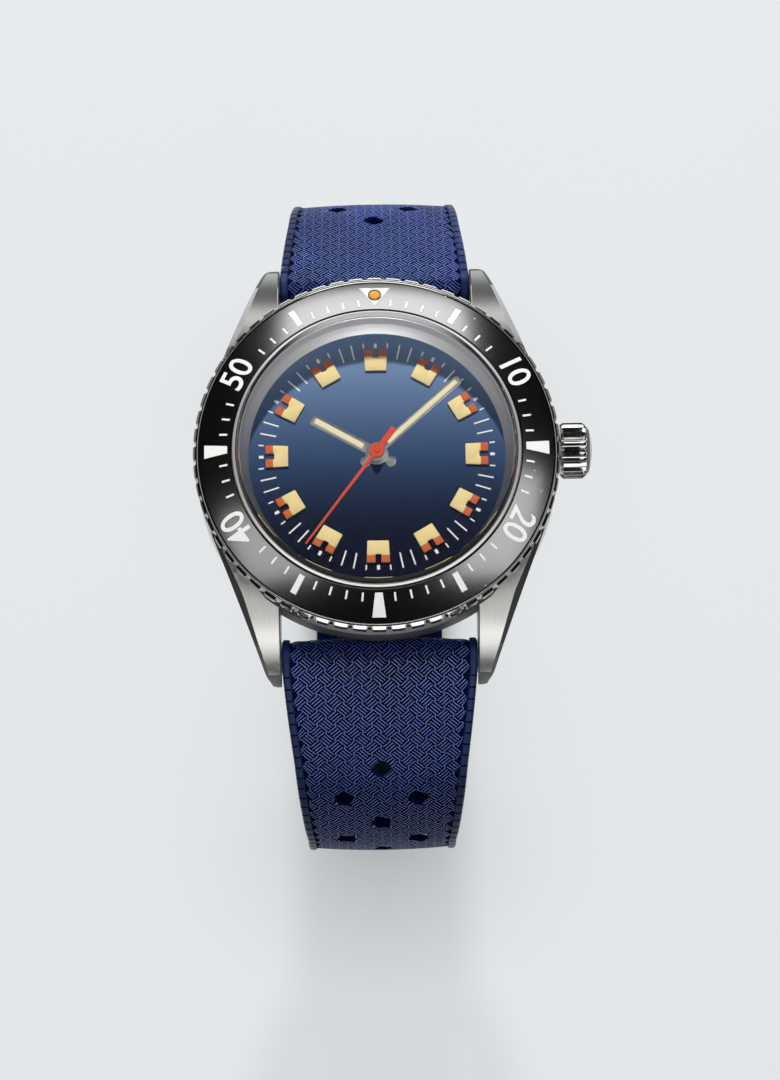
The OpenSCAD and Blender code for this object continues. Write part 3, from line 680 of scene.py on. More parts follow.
class WATCH_OT_case_middle(bpy.types.Operator):
    """Model the steel case with its four lugs"""

    bl_idname = "watch.case_middle"
    bl_label = "Case"

    def execute(self, context):
        sizes = context.scene.watch_case
        flank = sizes.flank / MM
        top = sizes.shoulder / MM
        body = turned("case_body", [
            (13.95, 0.95), (16.6, 0.95), (17.9, 0.95), (flank, 1.8), (flank, 2.6), (flank, 4.4), (flank, 7.2),
            (flank - 0.4, top), (14.85, top), (14.85, 10.98), (14.79, 11.05), (14.54, 11.05), (14.5, 11.0),
            (14.5, 9.9), (14.32, 9.9), (14.32, 7.0), (13.95, 7.0)], 288)
        inside = sizes.lug_inside / MM - 0.01
        for vertex in body.data.vertices:
            x, y, z = vertex.co / MM
            radius = math.hypot(x, y)
            if abs(x) < inside and z < 4.39 and radius > 16.5:
                limit = float(np.interp(z, [0.95, 2.6, 4.4], [16.6, 17.0, flank]))
                if radius > limit:
                    vertex.co.x *= limit / radius
                    vertex.co.y *= limit / radius
        lug = skin("case_lug", lug_rows())
        lugs = [lug]
        for way in ((-1, 1, 1), (1, -1, 1), (-1, -1, 1)):
            lugs.append(twin(lug, Matrix.Diagonal((*way, 1))))
        piece = merge("case_middle", [body] + lugs)

        def choose(middle, normal):
            if middle.z > 9:
                return 3
            radius = math.hypot(middle.x, middle.y)
            slant = 0.35 < normal.z < 0.86 and abs(normal.x) > 0.3 and radius > 17.9
            # painted shade: the lug ends and the slanted edges near them get the dark grey steel
            if abs(middle.y) > 22 or slant and abs(middle.y) > 19.5:
                return 2
            # painted shade: the flank between the lugs, in the ring's shade, gets the dark grey steel
            if abs(middle.x) < inside and 16 < radius < 18.95 and normal.z < 0.3:
                return 2
            return 1 if slant else 0

        mark_faces(piece, ["brushed", "polished", "painted shade", "ring"], choose)
        settle(piece, "case_middle", "case", [], ["mid_case"], 24)
        return {"FINISHED"}


class WATCH_OT_caseback(bpy.types.Operator):
    """Model the screwed back with its six tool slots"""

    bl_idname = "watch.caseback"
    bl_label = "Back"

    def execute(self, context):
        piece = turned("back_plate", [
            (0, 0.1), (10.9, 0.1), (11.05, 0.0), (15.05, 0.0), (15.2, 0.05), (15.6, 0.42), (15.6, 0.95),
            (13.9, 0.95), (13.9, 1.85), (13.2, 1.85), (13.2, 1.0), (0, 1.0)], 240)
        tools = []
        for i in range(6):
            box = plate("slot", [(14.9, -0.9), (17.0, -0.9), (17.0, 0.9), (14.9, 0.9)], -1, 0.5)
            box.data.transform(Matrix.Rotation(math.radians(60 * i + 30), 4, "Z"))
            tools.append(box)
        cut(piece, merge("slots", tools))
        settle(piece, "back_plate", "case", ["turned"], ["caseback"], 24)
        return {"FINISHED"}


class WATCH_OT_bezel_ring(bpy.types.Operator):
    """Model the turning ring with its notched grip"""

    bl_idname = "watch.bezel_ring"
    bl_label = "Turning ring"

    def execute(self, context):
        sizes = context.scene.watch_bezel
        rim = sizes.rim / MM
        notch = sizes.notch / MM
        step = 360 / sizes.notches
        profile = [
            (14.93, 7.65), (18.42, 7.65), (18.5, 7.72), (18.5, 8.4), (18.54, 8.47), (rim - 0.08, 8.66), (rim, 8.75),
            (rim, 9.58), (rim - 0.03, 9.675), (18.62, 9.885), (18.57, 9.9), (18.44, 9.9), (18.38, 9.86), (18.38, 9.28),
            (14.93, 9.28 + 3.45 * INSERT_SLOPE)]
        ends = [-1.0, -0.96, -0.86, -0.7, -0.48, -0.24, 0, 0.24, 0.48, 0.7, 0.86, 0.96, 1.0]
        spans = [notch * e for e in ends] + [notch * 1.2, notch * 1.6]
        rest = [notch * 1.6 + (1.99 - 3.2 * notch) * k / 3 for k in (1, 2)]
        spans = [-notch * 1.6, -notch * 1.2] + spans + rest
        rows = []
        for i in range(sizes.notches):
            for span in spans[:-1] if len(rest) == 0 else spans:
                turn = math.radians(step * (i + 0.5)) + span / (rim + 0.05)
                row = []
                for radius, height in profile:
                    if radius > 18.46 and height > 7.99:
                        off = abs(span)
                        if off < notch:
                            radius = min(radius, rim + 0.05 - math.sqrt(notch ** 2 - off ** 2))
                        elif off < notch * 1.25 and radius > rim - 0.03:
                            radius -= 0.035
                    row.append((radius * math.cos(turn), radius * math.sin(turn), height))
                rows.append(row)
        piece = skin("bezel_ring", rows, True, True)
        settle(piece, "bezel_ring", "bezel", ["ring"], ["bezel"], 28)
        return {"FINISHED"}


def insert_height(radius):
    """Height of the insert's sloped face, which is crowned by a hair between its edges."""
    share = (18.36 - radius) / 3.39
    return 9.8 + (18.36 - radius) * INSERT_SLOPE + 0.22 * share * (1 - share)


def on_cone(turn, across, radius, lift):
    """A point of the insert's sloped face, in metres. turn is clockwise from twelve, in degrees."""
    height = insert_height(radius) + lift
    angle = math.radians(turn) + across / radius
    return Vector((radius * math.sin(angle), radius * math.cos(angle), height)) * MM


def cone_mark(inner, outer, turn, lift):
    """A printed mark between two (half width, radius) ends, laid on the insert and a little thick."""
    rows = []
    for share in np.linspace(0, 1, 14):
        half = inner[0] + (outer[0] - inner[0]) * share
        radius = inner[1] + (outer[1] - inner[1]) * share
        corners = ((-half, -0.06), (-half, lift), (half, lift), (half, -0.06))
        rows.append([on_cone(turn, across, radius, level) / MM for across, level in corners])
    return skin("mark", rows)


def cone_number(text, turn, lift):
    """Sets a number of the insert, tops outwards."""
    clear_selection()
    bpy.ops.object.text_add()
    piece = bpy.context.object
    piece.data.body = text
    piece.data.align_x = "CENTER"
    piece.data.size = 3.6
    piece.data.offset = 0.03
    piece.data.space_character = 0.98
    piece.data.resolution_u = 6
    bpy.ops.object.convert(target="MESH")
    piece = bpy.context.object
    select_only(piece)
    bpy.ops.object.mode_set(mode="EDIT")
    bpy.ops.mesh.select_all(action="SELECT")
    bpy.ops.mesh.remove_doubles(threshold=1e-4)
    bpy.ops.object.mode_set(mode="OBJECT")
    high = max(v.co.y for v in piece.data.vertices)
    low = min(v.co.y for v in piece.data.vertices)
    # cut across in steps, so that the number follows the insert's crown
    bpy.ops.object.mode_set(mode="EDIT")
    for level in np.linspace(low, high, 9)[1:-1]:
        bpy.ops.mesh.select_all(action="SELECT")
        bpy.ops.mesh.bisect(plane_co=(0, float(level), 0), plane_no=(0, 1, 0))
    bpy.ops.object.mode_set(mode="OBJECT")
    for vertex in piece.data.vertices:
        x, y, _ = vertex.co
        vertex.co = on_cone(turn, x, 16.66 + (y - (high + low) / 2), lift)
    select_only(piece)
    wall = piece.modifiers.new("thickness", "SOLIDIFY")
    wall.thickness = 0.06 * MM
    wall.offset = -1
    bpy.ops.object.modifier_apply(modifier=wall.name)
    return piece


class WATCH_OT_bezel_insert(bpy.types.Operator):
    """Model the black insert with its white print and the lume dot"""

    bl_idname = "watch.bezel_insert"
    bl_label = "Insert"

    def execute(self, context):
        lift = context.scene.watch_bezel.print_height / MM
        tall = 9.8 + (18.36 - 14.97) * INSERT_SLOPE
        face = [(radius, insert_height(radius)) for radius in np.linspace(18.31, 15.04, 40)]
        piece = turned("ring_insert", [
            (18.36, 9.295), (18.36, 9.76)] + face + [(14.97, tall - 0.05), (14.97, tall - 0.5)], 360)
        settle(piece, "ring_insert", "bezel", ["black"], ["bezel_insert"], 30)
        marks = [cone_mark((0.02, 15.4), (1.6, 17.7), 0, lift)]
        for minute in range(1, 60):
            turn = 6 * minute
            if minute in (10, 20, 40, 50):
                continue
            if minute % 15 == 0:
                ends = (0.38, 15.35), (0.71, 17.75)
            elif minute % 5 == 0:
                ends = (0.3, 15.45), (0.33, 17.45)
            elif any(abs(minute - n) == 1 for n in (10, 20, 40, 50)):
                continue
            else:
                ends = (0.1, 15.4), (0.1, 16.25)
            marks.append(cone_mark(*ends, turn, lift))
        for number in (10, 20, 40, 50):
            marks.append(cone_number(str(number), 6 * number, lift))
        print_piece = merge("ring_print", marks)
        close_mesh(print_piece, holes=False)
        settle(print_piece, "ring_print", "bezel", ["white"], (), 30)
        dome = turned("ring_pip", [
            (0, -0.2), (0.56, -0.2), (0.56, 0.08), (0.5, 0.14), (0.4, 0.18), (0.2, 0.21), (0, 0.22)], 48)
        rim = turned("pip_rim", [(0.56, -0.2), (0.7, -0.2), (0.7, 0.1), (0.66, 0.15), (0.6, 0.15), (0.56, 0.11)], 48)
        for part in (dome, rim):
            part.data.transform(Matrix.Rotation(-math.atan(INSERT_SLOPE), 4, "X"))
            part.data.transform(Matrix.Translation(on_cone(0, 0, 16.7, 0)))
        settle(rim, "pip_rim", "bezel", ["polished"], (), 40)
        settle(dome, "ring_pip", "bezel", ["pip"], ["bezel_pip"], 40)
        return {"FINISHED"}


class WATCH_OT_crystal(bpy.types.Operator):
    """Model the bevelled crystal, its seal and the sloped ring around the dial"""

    bl_idname = "watch.crystal"
    bl_label = "Crystal"

    def execute(self, context):
        glass = turned("crystal_plate", [
            (0, 9.95), (14.2, 9.95), (14.2, 12.41), (14.16, 12.45), (0, 12.45)], 360)
        glass.visible_diffuse = False
        mark_faces(
            glass, ["crystal", "ground edge"],
            lambda middle, normal: 1 if math.hypot(middle.x, middle.y) > 14.1 and abs(normal.z) < 0.5 else 0)
        settle(glass, "crystal_plate", "case", [], ["crystal"], 20)
        seal = turned("crystal_seal", [
            (14.21, 9.95), (14.48, 9.95), (14.48, 10.99), (14.45, 11.03), (14.42, 11.0), (14.21, 10.7)], 240)
        settle(seal, "crystal_seal", "case", ["silvered"], ["crystal_gasket"], 30)
        slope = turned("dial_ring", [
            (13.3, 7.0), (14.3, 7.0), (14.3, 9.9), (14.09, 9.9), (14.05, 9.86), (14.05, 8.02), (14.02, 7.94),
            (13.34, 7.1), (13.3, 7.05)], 240)
        settle(slope, "dial_ring", "case", ["silvered"], ["dial_flange"], 24)
        return {"FINISHED"}


class WATCH_OT_dial_face(bpy.types.Operator):
    """Model the dial's plots and printed minute track"""

    bl_idname = "watch.dial_face"
    bl_label = "Dial"

    def execute(self, context):
        lume = plate("plot", [
            (-1.1, 9.17), (1.1, 9.17), (1.172, 10.75), (0.3, 10.75), (0.3, 10.6), (-0.3, 10.6), (-0.3, 10.75),
            (-1.172, 10.75)], 7.0, 7.25)
        soften(lume, 0.05, 2)
        leg = plate("leg", [(0.3, 10.76), (1.175, 10.76), (1.2, 11.5), (0.3, 11.5)], 7.0, 7.24)
        soften(leg, 0.04, 2)
        tips = [leg, twin(leg, Matrix.Diagonal((-1, 1, 1, 1)))]
        tip = merge("tip", tips)
        plots = [lume]
        legs = [tip]
        for i in range(1, 12):
            spot = Matrix.Rotation(math.radians(-30 * i), 4, "Z")
            plots.append(twin(lume, spot))
            legs.append(twin(tip, spot))
        settle(merge("hour_plots", plots), "hour_plots", "case", ["lume"], ["marker_lume"], 40)
        settle(merge("plot_tips", legs), "plot_tips", "case", ["tips"], ["marker_tips"], 40)
        ticks = []
        for minute in range(60):
            part = minute % 5
            if part == 0:
                half, start, end = 0.15, 11.72, 12.2
            elif part in (1, 4):
                half, start, end = 0.07, 11.75, 12.3
            else:
                half, start, end = 0.075, 10.65, 12.3
            tick = plate("tick", [(-half, start), (half, start), (half, end), (-half, end)], 6.99, 7.015)
            tick.data.transform(Matrix.Rotation(math.radians(-6 * minute), 4, "Z"))
            ticks.append(tick)
        settle(merge("minute_track", ticks), "minute_track", "case", ["white"], (), 30)
        return {"FINISHED"}


def hand_blade(name, width, reach, hub, tail, low, slot):
    """A baton hand with a hub, a pointed tail and a slot for its lume."""
    half = width / 2
    blade = plate("blade", [
        (-half, 0), (half, 0), (half, reach - 0.3), (half * 0.6, reach), (-half * 0.6, reach), (-half, reach - 0.3)],
        low, low + 0.2)
    round_hub = plate("hub", [
        (hub * math.cos(2 * HALF_TURN * i / 64), hub * math.sin(2 * HALF_TURN * i / 64)) for i in range(64)],
        low - 0.004, low + 0.206)
    wide, back = tail
    rear = plate("rear", [
        (-0.34, 0.4), (-0.34, -1.15), (-wide / 2, -back + 0.5), (-wide / 2, -back + 0.25), (-0.2, -back),
        (0.2, -back), (wide / 2, -back + 0.25), (wide / 2, -back + 0.5), (0.34, -1.15), (0.34, 0.4)],
        low + 0.004, low + 0.196)
    opening = plate("opening", [
        (-slot[0] / 2, slot[1]), (slot[0] / 2, slot[1]), (slot[0] / 2, slot[2]), (-slot[0] / 2, slot[2])],
        low - 1, low + 1)
    cut(blade, opening)
    soften(blade, 0.045, 2)
    soften(round_hub, 0.04, 2)
    soften(rear, 0.045, 2)
    return merge(name, [blade, round_hub, rear])


class WATCH_OT_hands(bpy.types.Operator):
    """Model the three hands"""

    bl_idname = "watch.hands"
    bl_label = "Hands"

    def execute(self, context):
        hour = hand_blade("hour", 1.2, 7.85, 1.2, (1.2, 2.2), 7.55, (0.58, 1.6, 7.3))
        hour.data.transform(Matrix.Rotation(math.radians(-300), 4, "Z"))
        for node in ("hour_hand_lume", "minute_hand_lume"):
            frame["nodes"][node].visible_shadow = False
        hour.visible_shadow = False
        settle(hour, "hour_blade", "hour", ["satin"], ["hour_hand"], 30)
        minute = hand_blade("minute", 1.0, 11.7, 1.05, (1.1, 2.1), 8.24, (0.5, 1.5, 11.2))
        minute.data.transform(Matrix.Rotation(math.radians(-48), 4, "Z"))
        minute.visible_shadow = False
        settle(minute, "minute_blade", "minute", ["satin"], ["minute_hand"], 30)
        needle = plate("needle", [
            (-0.31, -3.05), (0.31, -3.05), (0.31, -0.9), (0.2, -0.3), (0.2, 0.6), (0.1, 12.2), (0.05, 12.3),
            (-0.05, 12.3), (-0.1, 12.2), (-0.2, 0.6), (-0.2, -0.3), (-0.31, -0.9)], 8.66, 8.82)
        soften(needle, 0.035, 2)
        boss = turned("boss", [
            (0, 8.64), (0.76, 8.64), (0.76, 8.8), (0.7, 8.86), (0.4, 8.86), (0.36, 8.83), (0.3, 8.83), (0.24, 8.9),
            (0.1, 8.93), (0, 8.93)], 64)
        seconds = merge("seconds", [needle, boss])
        seconds.data.transform(Matrix.Rotation(math.radians(-217), 4, "Z"))
        seconds.visible_shadow = False
        settle(seconds, "seconds_needle", "seconds", ["seconds"], ["seconds_hand"], 30)
        return {"FINISHED"}


class WATCH_OT_crown(bpy.types.Operator):
    """Model the fluted crown"""

    bl_idname = "watch.crown"
    bl_label = "Crown"

    def execute(self, context):
        profile = [
            (2.0, 20.8), (2.0, 19.1), (2.6, 19.1), (2.72, 19.16), (2.925, 19.45), (2.925, 21.45), (2.72, 21.75),
            (2.66, 21.78), (2.58, 21.84), (2.2, 22.15), (2.1, 22.21), (1.9, 22.28), (1.1, 22.39), (0.02, 22.42)]
        teeth = 28
        rows = []
        for i in range(teeth):
            for share, depth in ((-0.44, 0.31), (-0.06, 0.0), (0.06, 0.0), (0.44, 0.31)):
                turn = 2 * HALF_TURN * (i + share) / teeth
                row = []
                for radius, along in profile:
                    if radius > 2.7 and along < 21.76:
                        radius = min(radius, 2.925 - depth)
                    row.append((along, 1.2 + radius * math.sin(turn), 4.8 + radius * math.cos(turn)))
                rows.append(row)
        piece = skin("crown_grip", rows, False, True)
        # painted shade: the band and the cap at the crown's end get the dark grey steel, for the dark surroundings they
        # mirror
        mark_faces(
            piece, ["polished", "painted shade"],
            lambda middle, normal: 1 if 21.77 < middle.x < 22.1 or middle.x > 22.3 else 0)
        settle(piece, "crown_grip", "crown", [], ["crown"], 24)
        return {"FINISHED"}


SHORT = 67.6
LONG = 107.8


def strap_line():
    """The strap's middle line: way along it, place across and up, and turn, as tables in millimetres."""
    way = np.linspace(0, LONG, 1079)
    ends = np.cumsum([0, 12.5, 18 * math.radians(63.7), 37.9, 10 * math.radians(71.3)])
    turn = np.interp(way, ends, np.radians([28, 45, 108.7, 108.7, 180]))
    step = way[1] - way[0]
    middle = (turn[1:] + turn[:-1]) / 2
    y = 20 + np.concatenate([[0], np.cumsum(np.cos(middle) * step)])
    z = 2.2 + np.concatenate([[0], np.cumsum(-np.sin(middle) * step)])
    # before the bar the face wraps back round the tube, about the bar itself
    way = np.concatenate([[-6], way])
    turn = np.concatenate([[turn[0] - 6 / 1.8], turn])
    return way, np.concatenate([[20], y]), np.concatenate([[2.2], z]), turn


LINE = strap_line()


def strap_half_width(way, tail):
    """Half the strap's width along the middle line."""
    z = np.interp(way, LINE[0], LINE[2])
    if not tail:
        return np.interp(z, [-23, -12, -4.5, 1.7], [8.0, 8.85, 9.4, 10.1])
    wide = np.interp(z, [-15.8, -10, -4.5, 1.7], [8.0, 8.5, 9.1, 10.1])
    left = LONG - np.asarray(way, float)
    bend = np.sqrt(np.maximum(8.6 ** 2 - (8.6 - np.clip(left, 0.0, 8.6)) ** 2, 0.02))
    return np.where(left < 8.6, np.minimum(wide, bend), wide)


def strap_thickness(way):
    """The strap's thickness along the middle line."""
    return np.interp(way, [0, 1.2, 4, 9, 30.78], [3.76, 3.4, 3.04, 2.6, 2.4])


def strap_face(x, way, tail):
    """Height of the woven ground above the middle line."""
    sizes = bpy.context.scene.watch_strap
    room = np.maximum(strap_half_width(way, tail) - sizes.band / MM, 0.3)
    crown = sizes.crown / MM * (1 - np.clip(x / room, -1, 1) ** 2)
    return strap_thickness(way) / 2 - sizes.band_rise / MM + crown


def strap_place(x, way, level):
    """Points of the strap from their place across, way along and level above the middle line."""
    y = np.interp(way, LINE[0], LINE[1])
    z = np.interp(way, LINE[0], LINE[2])
    turn = np.interp(way, LINE[0], LINE[3])
    return np.stack([x, y + level * np.sin(turn), z + level * np.cos(turn)], axis=-1)


def strap_holes(last):
    """Middles of the diamond openings."""
    spots = []
    for i in range(int((last - 12) / 3.74 + 1e-6) + 1):
        for x in ([0.0] if i % 2 == 0 else [-3.9, 3.9]):
            spots.append((x, 12 + 3.74 * i))
    return spots


DIAMOND = [
    (1.1, 0.0), (1.03, 0.2), (0.62, 0.72), (0.36, 0.9), (0.0, 0.95), (-0.36, 0.9), (-0.62, 0.72), (-1.03, 0.2),
    (-1.1, 0.0), (-1.03, -0.2), (-0.62, -0.72), (-0.36, -0.9), (0.0, -0.95), (0.36, -0.9), (0.62, -0.72),
    (1.03, -0.2)]


def strap_section(s, tail, under, groove):
    """One cross-section of the strap: underside, ribbed edge bands and crowned face between them."""
    half = float(strap_half_width(s, tail))
    top = float(strap_thickness(s)) / 2 - groove
    inner = max(half - bpy.context.scene.watch_strap.band / MM, half * 0.55)
    slim = min(1.0, half / 2.5)
    xs = [-half + d * slim for d in (0.35, 0.1, 0, 0, 0.12, 0.25)]
    xs += [-inner - 0.16 * slim, -inner - 0.03 * slim]
    hs = [under, under + 0.1, under + 0.4, top - 0.28, top - 0.06, top, top, top - 0.08]
    face = list(np.linspace(-inner, inner, 13))
    ground = [float(strap_face(x * 0.999, s, tail)) for x in face]
    xs = xs + face + [-x for x in reversed(xs)]
    hs = hs + ground + list(reversed(hs))
    return strap_place(np.array(xs), np.full(len(xs), float(s)), np.array(hs))


def strap_body(name, total, tail):
    """The strap's own form: crowned face, raised ribbed bands and a flat underside."""
    pitch = bpy.context.scene.watch_strap.rib_pitch / MM
    stations = {0.0: 0.0, 0.5: 0.0, 1.0: 0.0}
    way = 1.62
    while way < total - 2.4:
        for step, groove in ((-0.12, 0.0), (-0.06, 0.3), (0.06, 0.3), (0.12, 0.0), (pitch / 2, 0.0)):
            stations[way + step] = groove
        way += pitch
    for left in (1.7, 1.4, 1.0, 0.7, 0.45, 0.25, 0.1, 0.02) if tail else (1.4, 0.2):
        stations[total - left] = 0.0
    rows = [
        strap_section(s, tail, -float(strap_thickness(s)) / 2, stations[s]) for s in sorted(stations)]
    return darken_ground(skin(name, rows), tail)


def darken_ground(piece, tail):
    """Gives the woven ground and the inside the dark rubber of painted shade, and the edge bands a satin navy one."""
    band = bpy.context.scene.watch_strap.band / MM

    def choose(middle, normal):
        near = int(np.argmin(np.hypot(LINE[1] - middle.y, LINE[2] - middle.z)))
        room = float(strap_half_width(LINE[0][near], tail)) - band
        outward = normal.y * middle.y + normal.z * (middle.z + 25)
        return 1 if abs(middle.x) > room and (outward > 0 or abs(normal.x) > 0.5) else 0

    mark_faces(piece, ["gap", "band"], choose)
    return piece


def strap_wrap(name):
    """The part of the strap that wraps round its bar, back towards the case."""
    piece = skin(name, [strap_section(s, False, 0.86, 0.0) for s in np.linspace(-5.6, 0.15, 16)])
    return darken_ground(piece, False)


def strap_weave(name, total, last, tail):
    """Thousands of small raised bars in a basket weave, each with a dozen faces, laid on the face."""
    sizes = bpy.context.scene.watch_strap
    across = sizes.weave_across / MM
    along = sizes.weave_along / MM
    reach = sizes.bar_length / MM
    pitch = sizes.bar_pitch / MM
    band = sizes.band / MM
    half = reach / 2
    wide = pitch * 0.27
    top = pitch * 0.18
    bar = np.array([
        (-half, -top, 0), (-half + 0.1, -wide, 0), (half - 0.1, -wide, 0), (half, -top, 0), (half, top, 0),
        (half - 0.1, wide, 0), (-half + 0.1, wide, 0), (-half, top, 0),
        (-half + 0.12, -top, 1), (half - 0.12, -top, 1), (half - 0.12, top, 1), (-half + 0.12, top, 1)])
    faces = [
        (8, 9, 10, 11), (1, 2, 9, 8), (5, 6, 11, 10), (0, 1, 8), (7, 0, 8, 11), (6, 7, 11), (2, 3, 9), (3, 4, 10, 9),
        (4, 5, 10), (7, 6, 5, 4, 3, 2, 1, 0)]
    holes = np.array(strap_holes(last))
    edge = np.array(DIAMOND)
    reach_by_angle = np.arctan2(edge[:, 1], edge[:, 0])
    order = np.argsort(reach_by_angle)
    angles = reach_by_angle[order]
    spans = np.hypot(edge[:, 0], edge[:, 1])[order]
    points = []
    kept = 0
    polygons = []
    rows = int(total / along) + 2
    columns = int(10 / across) + 2
    for j in range(-4, rows):
        for i in range(-columns, columns + 1):
            for lean, shift in ((1, 0.0), (-1, 0.5)):
                x0 = (i + shift) * across
                s0 = (j + shift) * along
                tilt = math.radians(42) * lean
                for k in (-1.5, -0.5, 0.5, 1.5, "pin"):
                    # a pin stands where four blocks meet
                    u = bar[:, 0] * 0.16 if k == "pin" else bar[:, 0]
                    v = bar[:, 1] * 1.3 if k == "pin" else bar[:, 1] + k * pitch
                    if k == "pin":
                        u = u + lean * across / 2 * math.cos(tilt)
                        v = v - across / 2 * math.sin(tilt) * lean
                    x = x0 + u * math.cos(tilt) - v * math.sin(tilt)
                    s = s0 + u * math.sin(tilt) + v * math.cos(tilt)
                    mid_s = float(np.mean(s))
                    if mid_s < -4.4 or mid_s > total - (0.9 if tail else 2.6):
                        continue
                    limit = float(strap_half_width(mid_s, tail)) - band - 0.04
                    if abs(float(np.mean(x))) > limit:
                        continue
                    x = np.clip(x, -limit, limit)
                    near = holes[np.abs(holes[:, 1] - mid_s) < 2.2] if len(holes) else holes
                    inside = False
                    for hole_x, hole_s in near:
                        dx, ds = x - hole_x, s - hole_s
                        gap = np.hypot(dx, ds)
                        edge_gap = np.interp(np.arctan2(ds, dx), angles, spans, period=2 * HALF_TURN) * 1.04
                        if math.hypot(float(np.mean(dx)), float(np.mean(ds))) < 0.62:
                            inside = True
                            break
                        push = np.where(gap < edge_gap, edge_gap / np.maximum(gap, 0.05), 1.0)
                        x = hole_x + dx * push
                        s = hole_s + ds * push
                    if inside:
                        continue
                    ground = strap_face(x, s, tail)
                    points.append(strap_place(x, s, ground - 0.05 + bar[:, 2] * 0.25))
                    polygons += [tuple(12 * kept + n for n in face) for face in faces]
                    kept += 1
    mesh = bpy.data.meshes.new(name)
    mesh.from_pydata((np.concatenate(points) * MM).tolist(), [], polygons)
    # painted light and shade: bright rubber on the bar tops, the dark rubber on their flanks
    mesh.materials.append(finish("rubber"))
    mesh.materials.append(finish("gap"))
    mesh.polygons.foreach_set("material_index", ([0] + [1] * (len(faces) - 1)) * kept)
    piece = bpy.data.objects.new(name, mesh)
    bpy.context.scene.collection.objects.link(piece)
    return piece


def strap_tube(name, y, z, radius, bore, low, high, steps=40):
    """A tube across the strap for a bar."""
    piece = turned(name, [(bore, low), (radius - 0.1, low), (radius, low + 0.1), (radius, high - 0.1),
                          (radius - 0.1, high), (bore, high)], steps)
    piece.data.transform(Matrix.Rotation(HALF_TURN / 2, 4, "Y"))
    piece.data.transform(Matrix.Translation((0, y * MM, z * MM)))
    return piece


def at_strap(way):
    """The matrix that carries a piece's own frame to the strap's middle line."""
    _, y, z = strap_place(np.array(0.0), np.array(way), np.array(0.0))
    turn = float(np.interp(way, LINE[0], LINE[3]))
    return Matrix.Translation((0, y * MM, z * MM)) @ Matrix.Rotation(-turn, 4, "X")


def strap_cutters(last, bars):
    """Prisms for the diamond openings, and cylinders for the bars."""
    tools = []
    for x, way in strap_holes(last):
        tool = plate("diamond", [(x + a, b) for a, b in DIAMOND], -4, 4)
        tool.data.transform(at_strap(way))
        tools.append(tool)
    for y, z, radius in bars:
        tool = turned("bore", [(0, -12), (radius, -12), (radius, 12), (0, 12)], 32)
        tool.data.transform(Matrix.Rotation(HALF_TURN / 2, 4, "Y"))
        tool.data.transform(Matrix.Translation((0, y * MM, z * MM)))
        tools.append(tool)
    return tools


def rubber_parts(parts):
    """Gives the parts of a strap half that have no finish yet the navy rubber of the edge bands."""
    for part in parts:
        if not part.data.materials:
            part.data.materials.append(finish("band"))
    return parts


class WATCH_OT_strap_halves(bpy.types.Operator):
    """Model both halves of the woven-pattern rubber strap"""

    bl_idname = "watch.strap_halves"
    bl_label = "Strap"

    def execute(self, context):
        end = strap_place(np.array(0.0), np.array(SHORT), np.array(0.0))
        short = strap_body("short_body", SHORT, False)
        tools = strap_cutters(54, [(20, 2.2, 0.8), (float(end[1]), float(end[2]), 0.8)])
        notch = plate("notch", [(-1.3, -4.5), (1.3, -4.5), (1.3, 3.5), (-1.3, 3.5)], -4, 4)
        notch.data.transform(at_strap(SHORT))
        cut(short, notch)
        cut(short, merge("openings", tools))
        parts = [
            short, strap_wrap("short_wrap"), strap_weave("short_weave", SHORT - 4.8, 54, False),
            strap_tube("lug_tube", 20, 2.2, 1.45, 0.8, -9.97, 9.97),
            strap_tube("bar_tube_a", float(end[1]), float(end[2]), 1.6, 0.8, 1.3, 8.0),
            strap_tube("bar_tube_b", float(end[1]), float(end[2]), 1.6, 0.8, -8.0, -1.3)]
        piece = merge("strap_half_short", rubber_parts(parts))
        settle(piece, "strap_half_short", "strap_short", ["rubber"], ["strap_short"], 38)
        body = strap_body("long_body", LONG, True)
        cut(body, merge("openings", strap_cutters(98, [(20, 2.2, 0.8)])))
        parts = [
            body, strap_wrap("long_wrap"), strap_weave("long_weave", LONG, 98, True),
            strap_tube("tube", 20, 2.2, 1.45, 0.8, -9.97, 9.97)]
        piece = merge("strap_half_long", rubber_parts(parts))
        piece.data.transform(Matrix.Diagonal((1, -1, 1, 1)))
        piece.data.flip_normals()
        settle(piece, "strap_half_long", "strap_long", ["rubber"], ["strap_long"], 38)
        return {"FINISHED"}


